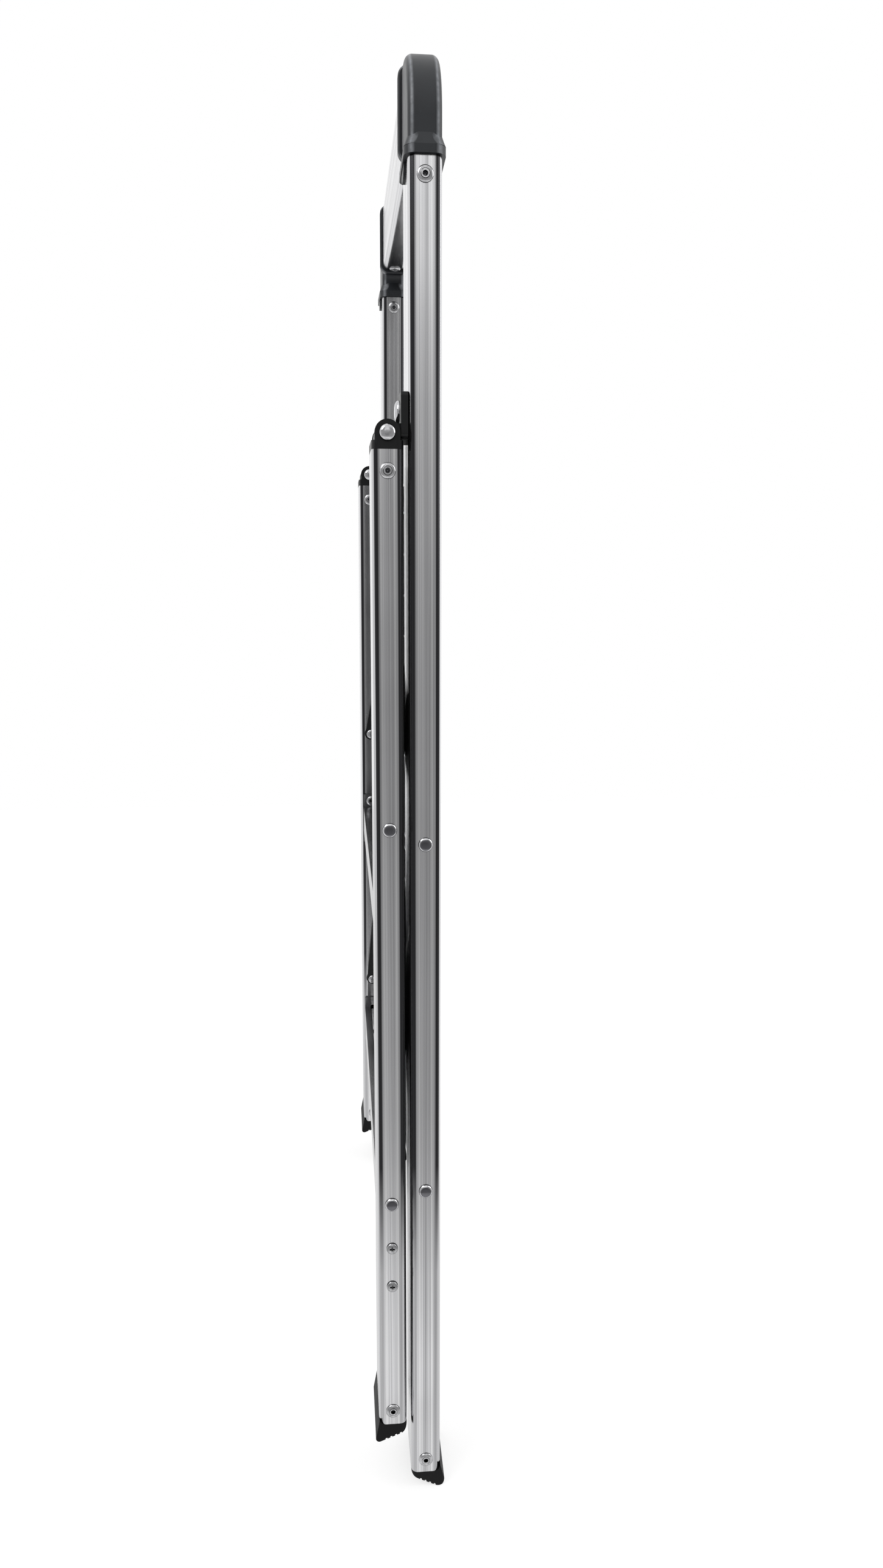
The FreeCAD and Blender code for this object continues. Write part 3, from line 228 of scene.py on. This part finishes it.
# band places are depths in metres, and corner facings the sideways part of the normal
stileFinish = dict(
    extrusionFinish, dark="#a8a8aa", light="#f2f2f4",
    # the band colour is a painted highlight
    bandCentre=0.01175, bandReach=0.0042, bandWidth=0.0009, bandShare=0.6, paintedBandHighlight="#ffffff",
    # the corner colour is painted shade, much weaker near the feet
    cornerFacing=0.83, cornerSpread=(0.1275, 0.17), paintedCornerShade="#3c3c3e",
    cornerShadeFadeHeights=(0.17, 0.25), lowCornerShadeShare=0.15)
deckFinish = dict(extrusionFinish, dark="#a6a7a9", light="#d8d9db", roughLow=0.28, roughHigh=0.42)
barFinish = dict(extrusionFinish, dark="#b0b0b2", light="#e4e4e6")

# Glass-filled nylon 6 from a spark-eroded tool, satin. Grain, cloud, scuff and streak are the
# size in metres, detail and roughness of each pattern. The real grain is about 0.1 mm, and this
# one is as coarse as it needs to be to show.
nylonFinish = {
    "grain": (0.0006, 2.0, 0.55), "cloud": (0.03, 4.0, 0.6), "cloudRange": (0.3, 0.7),
    "scuff": (0.012, 6.0, 0.7), "scuffRange": (0.62, 0.75), "scuffShare": 0.25,
    "scuffRough": 0.15, "scuffColour": "#43454a", "dark": "#1c1d20", "light": "#272a2e",
    "roughLow": 0.34, "roughHigh": 0.44, "ior": 1.53, "gloss": 0.38, "bump": 0.5,
    "depth": 0.00008,
}
# the edge colour is a painted highlight along the grip's rounded edges
gripFinish = dict(nylonFinish, paintedEdgeHighlight="#8d9095", edgeFacing=0.42, edgeSpread=0.3,
                  streak=(0.004, 3.0, 0.5), streakRange=(0.3, 0.7), streakShares=(0.45, 1.0))
# unworn nylon: deeper black, with less shine
fittingFinish = dict(nylonFinish, dark="#0e0f10", light="#151617", gloss=0.25)
# moulded rubber: matt
footFinish = dict(nylonFinish, dark="#0c0c0d", light="#141415", roughLow=0.55, roughHigh=0.68,
                  ior=1.5, gloss=0.2, grain=(0.0008, 2.0, 0.55))
# extruded rubber: matt, with the rough skin of its die
matFinish = dict(nylonFinish, dark="#161718", light="#202123", roughLow=0.65, roughHigh=0.8,
                 ior=1.5, gloss=0.3, grain=(0.0007, 2.0, 0.55), bump=0.8)
# powder coat on steel: finer and smoother
linkFinish = dict(nylonFinish, dark="#131415", light="#1c1d1f", roughLow=0.35, roughHigh=0.45,
                  gloss=0.35, grain=(0.0004, 2.0, 0.55), bump=0.25)

# Nickel plate, almost a mirror. Haze is its size in metres, detail and roughness.
nickelFinish = {
    "haze": (0.004, 4.0, 0.65), "hazeRange": (0.35, 0.7), "light": "#d8d8da", "dark": "#b4b4b7",
    "roughLow": 0.07, "roughHigh": 0.16, "bump": 0.15, "depth": 0.00005,
}
# the crown colour is a painted dark reflection on the upset heads
upsetFinish = dict(nickelFinish, light="#e6e6e8", dark="#d0d0d3", paintedCrownReflection="#6e6e72",
                   crownFacing=(0.86, 0.95))
# drawn aluminium: bright, with soft reflections
rivetFinish = dict(nickelFinish, haze=(0.003, 4.0, 0.65), light="#d2d2d4", dark="#a9a9ab",
                   roughLow=0.18, roughHigh=0.3, bump=0.3)
# bright zinc plate: greyer than nickel
screwFinish = dict(nickelFinish, haze=(0.002, 4.0, 0.65), light="#c6c6c8", dark="#8f9092",
                   roughLow=0.2, roughHigh=0.34, bump=0.3)
# dark steel of the pop rivets' mandrels, also painted shade in the bores and cross recesses
darkSteelAndShadeFinish = dict(nickelFinish, haze=(0.003, 4.0, 0.65), light="#6c6d70", dark="#4b4c4f",
                       roughLow=0.22, roughHigh=0.32, bump=0.3)

finishes = {
    "satin_aluminium": extrudedAluminium("millFinishAluminiumStile", "Z", stileFinish),
    "deck_aluminium": extrudedAluminium("millFinishAluminiumDeck", "X", deckFinish),
    "bar_aluminium": extrudedAluminium("millFinishAluminiumBar", "X", barFinish),
    "black_nylon": grainedPolymer("mouldedNylonGrip", gripFinish),
    "black_bracket": grainedPolymer("mouldedNylonBracket", fittingFinish),
    "cap_nylon": grainedPolymer("mouldedNylonEndCap", fittingFinish),
    "bush_nylon": grainedPolymer("mouldedNylonBush", fittingFinish),
    "foot_rubber": grainedPolymer("mouldedRubberFoot", footFinish),
    "mat_rubber": grainedPolymer("extrudedRubberMat", matFinish),
    "link_steel": grainedPolymer("powderCoatedSteelLink", linkFinish),
    "chromed_steel": brightFastener("nickelPlatedSteel", nickelFinish),
    "upset_steel": brightFastener("nickelPlatedUpsetHead", upsetFinish),
    "pop_rivet": brightFastener("drawnAluminiumRivet", rivetFinish),
    "screw_steel": brightFastener("zincPlatedScrew", screwFinish),
    "dark_steel": brightFastener("darkSteelAndPaintedShade", darkSteelAndShadeFinish),
}

slotOfNode = {part["node"]: part["material_slot"] for part in frame["record"]["subparts"]}
for name, node in nodes.items():
    finish = finishes[slotOfNode[name]]
    if name == "handrail_bar":
        finish = finishes["bar_aluminium"]
    elif name.startswith("rear_cap_"):
        finish = finishes["black_bracket"]
    node.data.materials.clear()
    node.data.materials.append(finish)
print("materials set on", len(nodes), "nodes")


# Fasteners

def solidBoxes(name):
    # the low and high corners of each separate solid of a node, from left to right
    work = bmesh.new()
    work.from_mesh(nodes[name].data)
    bmesh.ops.remove_doubles(work, verts=work.verts, dist=samePoint)
    left = set(work.verts)
    boxes = []
    while left:
        grown = [left.pop()]
        found = list(grown)
        while grown:
            vert = grown.pop()
            for edge in vert.link_edges:
                other = edge.other_vert(vert)
                if other in left:
                    left.remove(other)
                    grown.append(other)
                    found.append(other)
        low = Vector(min(v.co[axis] for v in found) for axis in range(3))
        high = Vector(max(v.co[axis] for v in found) for axis in range(3))
        boxes.append((low, high))
    work.free()
    # a set has no order of its own, and the heads are numbered in this one
    return sorted(boxes, key=lambda box: [round(part, 4) for part in box[0]])


def deselectAll():
    if bpy.context.mode != "OBJECT":
        bpy.ops.object.mode_set(mode="OBJECT")
    bpy.ops.object.select_all(action="DESELECT")


def activate(piece):
    deselectAll()
    piece.select_set(True)
    bpy.context.view_layer.objects.active = piece


def pickFaces(piece, chosen):
    # select in edit mode the faces for which chosen(face) holds
    work = bmesh.from_edit_mesh(piece.data)
    work.select_mode = {"FACE"}
    for face in work.faces:
        face.select_set(bool(chosen(face)))
    work.select_flush_mode()
    bmesh.update_edit_mesh(piece.data)


def turnedHead(name, values, finish):
    # a round head modelled about Z, its seat at zero: inset and raised ring by ring, as on a lathe
    deselectAll()
    radius, height = values["rings"][0]
    bpy.ops.mesh.primitive_cylinder_add(vertices=values["sides"], radius=radius,
                                        depth=values["seatDepth"],
                                        location=(0, 0, -values["seatDepth"] / 2))
    head = bpy.context.object
    head.name = name
    bpy.ops.object.transform_apply(location=True, rotation=False, scale=False)
    bpy.ops.object.mode_set(mode="EDIT")
    bpy.context.tool_settings.mesh_select_mode = (False, False, True)
    pickFaces(head, lambda face: face.normal.z > facesAlong
              and face.calc_center_median().z > -samePoint)
    for nextRadius, nextHeight in values["rings"][1:]:
        bpy.ops.mesh.extrude_region_move()
        scale = nextRadius / radius
        bpy.ops.transform.resize(value=(scale, scale, 1), center_override=(0, 0, 0))
        bpy.ops.transform.translate(value=(0, 0, nextHeight - height))
        radius, height = nextRadius, nextHeight
    bpy.ops.object.mode_set(mode="OBJECT")
    head.data.materials.append(finish)
    if "boreRadius" in values:
        # inside the bore: the mandrel's own dark steel, and painted shade on the bore's walls
        head.data.materials.append(finishes["dark_steel"])
        for face in head.data.polygons:
            inBore = face.center.xy.length < values["boreRadius"]
            if inBore and face.center.z > -values["seatDepth"] / 2:
                face.material_index = 1
    activate(head)
    bpy.ops.object.shade_smooth_by_angle(angle=math.radians(values["smooth"]))
    deselectAll()
    return head


def cutCross(head, values):
    # a cross recess: two tapered blades cut from the crown
    crown = (0, 0, values["crown"])
    for turn in (0, 90):
        deselectAll()
        bpy.ops.mesh.primitive_cube_add(size=1, location=crown)
        blade = bpy.context.object
        bpy.ops.object.mode_set(mode="EDIT")
        blockSize = (values["crossLength"], values["crossWidth"], 2 * values["crossDepth"])
        bpy.ops.transform.resize(value=blockSize, center_override=crown)
        pickFaces(blade, lambda face: face.normal.z < -facesAlong)
        bpy.ops.transform.resize(value=values["crossTaper"], center_override=crown)
        bpy.ops.object.mode_set(mode="OBJECT")
        blade.data.transform(Matrix.Rotation(math.radians(turn), 4, "Z"))
        activate(head)
        cutter = head.modifiers.new("cross", "BOOLEAN")
        cutter.operation = "DIFFERENCE"
        cutter.solver = "EXACT"
        cutter.object = blade
        bpy.ops.object.modifier_apply(modifier="cross")
        bpy.data.objects.remove(blade)
    # painted shade: the walls and the floor of the recess are coloured dark steel
    head.data.materials.append(finishes["dark_steel"])
    floorHeight = values["crown"] - values["floorShare"] * values["crossDepth"]
    for face in head.data.polygons:
        inCross = face.center.xy.length < values["crossLength"] / 2
        inRecess = inCross and face.center.z > -values["crossDepth"]
        if inRecess and (face.normal.z < values["wallFacing"] or face.center.z < floorHeight):
            face.material_index = 1
    deselectAll()


def placeHead(pattern, name, seat, outward, lean, body, node):
    # a copy of the pattern on its seat, turned outward, in place of the node's own plain end
    head = pattern.copy()
    head.data = pattern.data.copy()
    head.name = name
    bpy.context.collection.objects.link(head)
    turn = outward.to_track_quat("Z", "Y").to_matrix().to_4x4()
    head.data.transform(Matrix.Translation(seat) @ Matrix.Rotation(lean, 4, "Y") @ turn)
    head.data.update()
    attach(head, body)
    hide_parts(node)


# when the end of a solid carries a head: how far from round it may be in metres, and the shares
# of the head's height to look over, of its radius to reach and of its radius that may be flat
seating = {"outOfRound": 0.0004, "lookShare": 1.02, "reachShare": 0.95, "flatShare": 0.8}


def seatHeads(node, pattern, values, body):
    # a copy of the head on every end of the node's solids that is as wide as the head
    radius = values["rings"][0][0]
    height = max(ring[1] for ring in values["rings"])
    topRadius = max(ring[0] for ring in values["rings"] if ring[1] > height - samePoint)
    verts = [vert.co.copy() for vert in nodes[node].data.vertices]
    count = 0
    for low, high in solidBoxes(node):
        centre = (low + high) / 2
        inside = [v for v in verts if all(low[a] - samePoint <= v[a] <= high[a] + samePoint
                                          for a in range(3))]
        for axis in range(3):
            others = [a for a in range(3) if a != axis]
            widths = [(high - low)[a] for a in others]
            if abs(widths[0] - widths[1]) > seating["outOfRound"]:
                continue
            for sign in (-1, 1):
                end = high[axis] if sign > 0 else low[axis]
                # how far from the axis each point lies, near the end and on it
                near = [(math.hypot(*(v[a] - centre[a] for a in others)), abs(v[axis] - end))
                        for v in inside if abs(v[axis] - end) < height * seating["lookShare"]]
                reach = max((away for away, below in near), default=0)
                flat = max((away for away, below in near if below < samePoint), default=0)
                tooNarrow = reach < radius * seating["reachShare"]
                if tooNarrow or flat > radius * seating["flatShare"]:
                    continue
                outward = Vector((0, 0, 0))
                outward[axis] = sign
                lean = leanAngle * (1 if centre.x < 0 else -1) if axis == 0 else 0
                seat = Vector(centre)
                seat[axis] = end - sign * (height + topRadius * math.sin(abs(lean)))
                count += 1
                name = "%s_head_%d" % (node, count)
                placeHead(pattern, name, seat, outward, lean, body, node)
    print(node, "heads:", count)


# rings are (radius, height) in metres, from the seat inwards
popHead = {"sides": 48, "seatDepth": 0.004, "smooth": 40, "boreRadius": 0.00165, "rings": [
    (0.0051, 0.0), (0.0051, 0.0002), (0.0049, 0.0006), (0.0044, 0.0010), (0.0037, 0.0013),
    (0.0030, 0.0014), (0.0027, 0.0011), (0.0026, 0.0015), (0.0018, 0.0015), (0.0016, 0.0013),
    (0.0015, -0.0012), (0.0011, -0.0013), (0.0008, -0.0009), (0.0003, -0.0008)]}
roundHead = {"sides": 40, "seatDepth": 0.004, "smooth": 50, "finish": "upset_steel", "rings": [
    (0.0048, 0.0), (0.0048, 0.0003), (0.0046, 0.0008), (0.0041, 0.0013), (0.0032, 0.0016),
    (0.0019, 0.00175), (0.0006, 0.0018)]}
clenchHead = {"sides": 40, "seatDepth": 0.003, "smooth": 50, "rings": [
    (0.0044, 0.0), (0.0044, 0.0003), (0.0042, 0.0006), (0.0037, 0.0009), (0.0028, 0.0011),
    (0.0012, 0.0012)]}
domeHead = {"sides": 56, "seatDepth": 0.004, "smooth": 60, "rings": [
    (0.0052, 0.0), (0.0052, 0.0006), (0.00505, 0.0012), (0.0046, 0.0018), (0.0038, 0.0024),
    (0.0027, 0.0028), (0.0014, 0.00297), (0.0004, 0.003)]}
bracketHead = {"sides": 56, "seatDepth": 0.004, "smooth": 60, "rings": [
    (0.0070, 0.0), (0.0070, 0.0006), (0.0067, 0.0013), (0.0059, 0.0020), (0.0046, 0.0026),
    (0.0028, 0.0029), (0.0010, 0.003)]}
screwHead = {"sides": 40, "seatDepth": 0.004, "smooth": 45, "rings": [
    (0.00395, 0.0), (0.00395, 0.0005), (0.0038, 0.0010), (0.0033, 0.0014), (0.0024, 0.0016),
    (0.0006, 0.0016)],
    "crown": 0.0016, "crossLength": 0.0054, "crossWidth": 0.0014, "crossDepth": 0.0014,
    "crossTaper": (0.35, 0.7, 1), "floorShare": 0.8, "wallFacing": 0.5}

# every head that shows: its form, its slot, the body it moves with and the nodes that carry it
headKinds = (
    (popHead, "pop_rivet", "front_frame", ("grip_rivets", "front_foot_rivets")),
    (popHead, "pop_rivet", "rear_frame",
     ("rear_cap_rivets", "rear_foot_rivets", "rear_upper_bar_rivets")),
    (screwHead, "screw_steel", "rear_frame", ("rear_bar_screws",)),
    (bracketHead, "chromed_steel", "front_frame", ("bracket_rivets",)),
    (domeHead, "chromed_steel", "rear_frame", ("hinge_pins",)),
    (roundHead, "chromed_steel", "front_frame", ("lower_tread_pivots", "upper_tread_pivots")),
    (roundHead, "chromed_steel", "rear_frame", ("lower_link_rivets", "upper_link_rivets")),
)


def makeHeads():
    for values, slot, body, carriers in headKinds:
        pattern = turnedHead("headPattern", values, finishes[values.get("finish", slot)])
        if "crossLength" in values:
            cutCross(pattern, values)
        for node in carriers:
            seatHeads(node, pattern, values, body)
        bpy.data.objects.remove(pattern)


def clenchRivets():
    # the link rivets are clenched over the links on the inner side
    pattern = turnedHead("headPattern", clenchHead, finishes["chromed_steel"])
    for node in ("lower_link_rivets", "upper_link_rivets"):
        for low, high in solidBoxes(node):
            side = 1 if low.x + high.x < 0 else -1
            seat = (low + high) / 2
            seat.x = high.x if side > 0 else low.x
            placeHead(pattern, node + "_clench", seat, Vector((side, 0, 0)), 0,
                      "rear_frame", node)
    bpy.data.objects.remove(pattern)
    print("link rivets clenched")


# Feet

# where the top of each foot's wedge runs, as (y, z) at its outer edge and at the tube's face
wedges = (
    {"feet": ("front_foot_left", "front_foot_right"), "body": "front_frame", "smooth": 30,
     "edge": (-0.02555, 0.004), "top": (-0.02235, 0.017)},
    {"feet": ("rear_foot_left", "rear_foot_right"), "body": "rear_frame", "smooth": 30,
     "edge": (0.0243, 0.0400), "top": (0.02165, 0.0540)},
)


def lowerWedge(node, values):
    # the moulded foot with a low wedge, which ends where the tube does
    foot = bpy.data.objects.new(node + "_wedge", nodes[node].data.copy())
    bpy.context.collection.objects.link(foot)
    activate(foot)
    bpy.ops.mesh.customdata_custom_splitnormals_clear()
    bpy.ops.object.mode_set(mode="EDIT")
    bpy.ops.mesh.select_all(action="SELECT")
    bpy.ops.mesh.remove_doubles(threshold=samePoint)
    run = values["top"][0] - values["edge"][0]
    rise = values["top"][1] - values["edge"][1]
    side = 1 if values["edge"][0] > 0 else -1
    upward = Vector((0, side * rise, -side * run)).normalized()
    bpy.ops.mesh.select_all(action="SELECT")
    bpy.ops.mesh.bisect(plane_co=(0, *values["edge"]), plane_no=upward, threshold=samePoint,
                        use_fill=True, clear_outer=True)
    bpy.ops.mesh.select_all(action="SELECT")
    bpy.ops.mesh.normals_make_consistent(inside=False)
    bpy.ops.object.mode_set(mode="OBJECT")
    bpy.ops.object.shade_smooth_by_angle(angle=math.radians(values["smooth"]))
    deselectAll()
    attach(foot, values["body"])
    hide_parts(node)
    print(foot.name, "vertices:", len(foot.data.vertices))


# Floor, light and camera

paper = {"near": -0.34, "far": 2.0, "half": 1.4, "colour": "#f4f4f4", "roughness": 0.9,
         "gloss": 0.1, "glow": 1.16, "glowShare": 0.62}


def makeFloor():
    # a table top of matt white paper: it glows where it is seen, so only the soft shadow shows
    deselectAll()
    bpy.ops.mesh.primitive_plane_add(size=1, location=(0, 0, 0))
    floor = bpy.context.object
    floor.name = "floor"
    length = paper["far"] - paper["near"]
    floor.data.transform(Matrix.Diagonal((length, 2 * paper["half"], 1, 1)))
    floor.data.transform(Matrix.Translation((paper["near"] + length / 2, 0, 0)))
    material, tree, shader = newMaterial("matteWhitePaper")
    shader.inputs["Base Color"].default_value = linear(paper["colour"])
    shader.inputs["Roughness"].default_value = paper["roughness"]
    shader.inputs["Specular IOR Level"].default_value = paper["gloss"]
    glow = addNode(tree, "Emission", ((1, 1, 1, 1), paper["glow"]))
    path = addNode(tree, "LightPath").node.outputs
    shown = addNode(tree, "Math", (path["Is Camera Ray"], path["Is Glossy Ray"]),
                    operation="MAXIMUM")
    share = addNode(tree, "Math", (shown, paper["glowShare"]), operation="MULTIPLY")
    mixed = addNode(tree, "MixShader", (share, shader.outputs[0], glow))
    tree.links.new(mixed, tree.nodes["Material Output"].inputs["Surface"])
    floor.data.materials.append(material)


# The room by direction. Left is how far a direction points to the ladder's left side, and up is
# the sine of its height angle: each such pair is where a part fades in or out. Shades are the
# brightness at each end, and nearUpright keeps left from dividing by zero straight above.
room = {
    "flagsLeft": (-0.15, 0.5), "stripLeft": (0.94, 0.985), "flagsUp": (0.55, 0.8),
    "flagFootUp": (-0.56, -0.46), "flagShades": (0.8, 0.42),
    "backLeft": (-0.95, -0.7), "backShades": (1.05, 0.95),
    "tableUp": (-0.96, -0.88), "tableShare": 0.9, "tableShade": (0.02, 0.02, 0.02, 1),
    "deepFrom": (2.0, 3.0), "deepShare": 0.12, "nearUpright": 0.001,
}

# what the ladder's left side faces, as pairs of up and brightness: a pale table edge below,
# a dim room, and a bright ceiling edge
roomHeights = (
    (-0.76, 0.95), (-0.60, 0.98), (-0.52, 0.80), (-0.45, 0.43), (-0.30, 0.40), (-0.08, 0.30),
    (0.06, 0.36), (0.24, 0.50), (0.30, 0.78), (0.345, 1.15), (0.42, 0.90), (0.60, 1.0))


def makeWorld():
    world = bpy.data.worlds.new("studio")
    bpy.context.scene.world = world
    world.use_nodes = True
    tree = world.node_tree
    direction = addNode(tree, "TexCoord", (), "Generated")
    ahead, aside, up = addNode(tree, "SeparateXYZ", (direction,)).node.outputs
    level = addNode(tree, "CombineXYZ", (ahead, aside))
    reach = addNode(tree, "VectorMath", (level,), "Value", operation="LENGTH")
    reach = addNode(tree, "Math", (reach, room["nearUpright"]), operation="ADD")
    left = addNode(tree, "Math", (ahead, -1.0), operation="MULTIPLY")
    left = addNode(tree, "Math", (left, reach), operation="DIVIDE")
    # black flags stand on both sides of the strip of room that the left side faces
    flags = addNode(tree, "MapRange", (left, *room["flagsLeft"], 0.0, 1.0))
    flagHeight = addNode(tree, "MapRange", (howFar(tree, up, 0.0), *room["flagsUp"], 1.0, 0.0))
    flagShade = addNode(tree, "MapRange", (up, *room["flagFootUp"], *room["flagShades"]))
    strip = addNode(tree, "MapRange", (left, *room["stripLeft"], 0.0, 1.0))
    upShare = addNode(tree, "MapRange", (up, -1.0, 1.0, 0.0, 1.0))
    roomShade = addNode(tree, "ValToRGB", (upShare,))
    stops = roomShade.node.color_ramp.elements
    stops.remove(stops[1])
    for count, (sine, bright) in enumerate(roomHeights):
        stop = stops.new((sine + 1) / 2) if count else stops[0]
        stop.position = (sine + 1) / 2
        stop.color = (bright, bright, bright, 1)
    dark = addNode(tree, "Mix", {0: strip, 6: flagShade, 7: roomShade}, 2, data_type="RGBA")
    backdrop = addNode(tree, "MapRange", (left, *room["backLeft"], *room["backShades"]))
    inFlags = addNode(tree, "Math", (flags, flagHeight), operation="MULTIPLY")
    lit = addNode(tree, "Mix", {0: inFlags, 6: backdrop, 7: dark}, 2, data_type="RGBA")
    # the table's dark edge lies almost straight below, past the paper
    table = addNode(tree, "MapRange", (up, *room["tableUp"], room["tableShare"], 0.0))
    lit = addNode(tree, "Mix", {0: table, 6: lit, 7: room["tableShade"]}, 2, data_type="RGBA")
    # what two polished faces show of each other in a narrow gap stays dark
    path = addNode(tree, "LightPath").node.outputs
    deep = addNode(tree, "MapRange", (path["Ray Depth"], *room["deepFrom"],
                                      1.0, room["deepShare"]))
    dimmed = addNode(tree, "VectorMath", {0: lit, "Scale": deep}, operation="SCALE")
    seen = addNode(tree, "Mix", {0: path["Is Camera Ray"], 6: dimmed, 7: (1, 1, 1, 1)},
                   2, data_type="RGBA")
    tree.links.new(seen, tree.nodes["Background"].inputs["Color"])


lamps = (
    {"name": "keyLamp", "place": (-1.2, 1.6, 2.4), "aim": (0, 0, 0.5), "size": (1.4, 1.4),
     "power": 20.0},
    {"name": "fillLamp", "place": (-0.4, -2.2, 1.6), "aim": (0, 0, 0.5), "size": (1.6, 1.6),
     "power": 14.0},
)


def makeLamp(values):
    deselectAll()
    bpy.ops.object.light_add(type="AREA", location=values["place"])
    lamp = bpy.context.object
    lamp.name = values["name"]
    lamp.data.shape = "RECTANGLE"
    lamp.data.size, lamp.data.size_y = values["size"]
    lamp.data.energy = values["power"]
    aim = Vector(values["aim"]) - Vector(values["place"])
    lamp.rotation_euler = aim.to_track_quat("-Z", "Y").to_euler()


viewpoint = {"eye": (-0.9318, 0.0442, 0.6656), "pitchDegrees": 11.73, "yawDegrees": -5.38,
             "rollDegrees": 0.33, "sensorHeight": 36.0, "focalShare": 1821.6 / 2576,
             "clipStart": 0.01}


def makeCamera():
    deselectAll()
    bpy.ops.object.camera_add(location=viewpoint["eye"])
    camera = bpy.context.object
    pitch = math.radians(viewpoint["pitchDegrees"])
    yaw = math.radians(viewpoint["yawDegrees"])
    forward = Vector((math.cos(pitch) * math.cos(yaw), math.cos(pitch) * math.sin(yaw),
                      -math.sin(pitch)))
    right = forward.cross(Vector((0, 0, 1))).normalized()
    up = right.cross(forward)
    facing = Matrix((right, up, -forward)).transposed()
    roll = Matrix.Rotation(math.radians(viewpoint["rollDegrees"]), 3, "Z")
    camera.rotation_euler = (facing @ roll).to_euler()
    camera.data.sensor_fit = "VERTICAL"
    camera.data.sensor_height = viewpoint["sensorHeight"]
    camera.data.lens = viewpoint["sensorHeight"] * viewpoint["focalShare"]
    camera.data.clip_start = viewpoint["clipStart"]
    bpy.context.scene.camera = camera


makeHeads()
clenchRivets()
for values in wedges:
    for node in values["feet"]:
        lowerWedge(node, values)
makeFloor()
makeWorld()
for values in lamps:
    makeLamp(values)
makeCamera()
print("floor, world, lamps and camera made")

scene = bpy.context.scene
scene.view_settings.view_transform = "Standard"
bpy.context.view_layer.update()
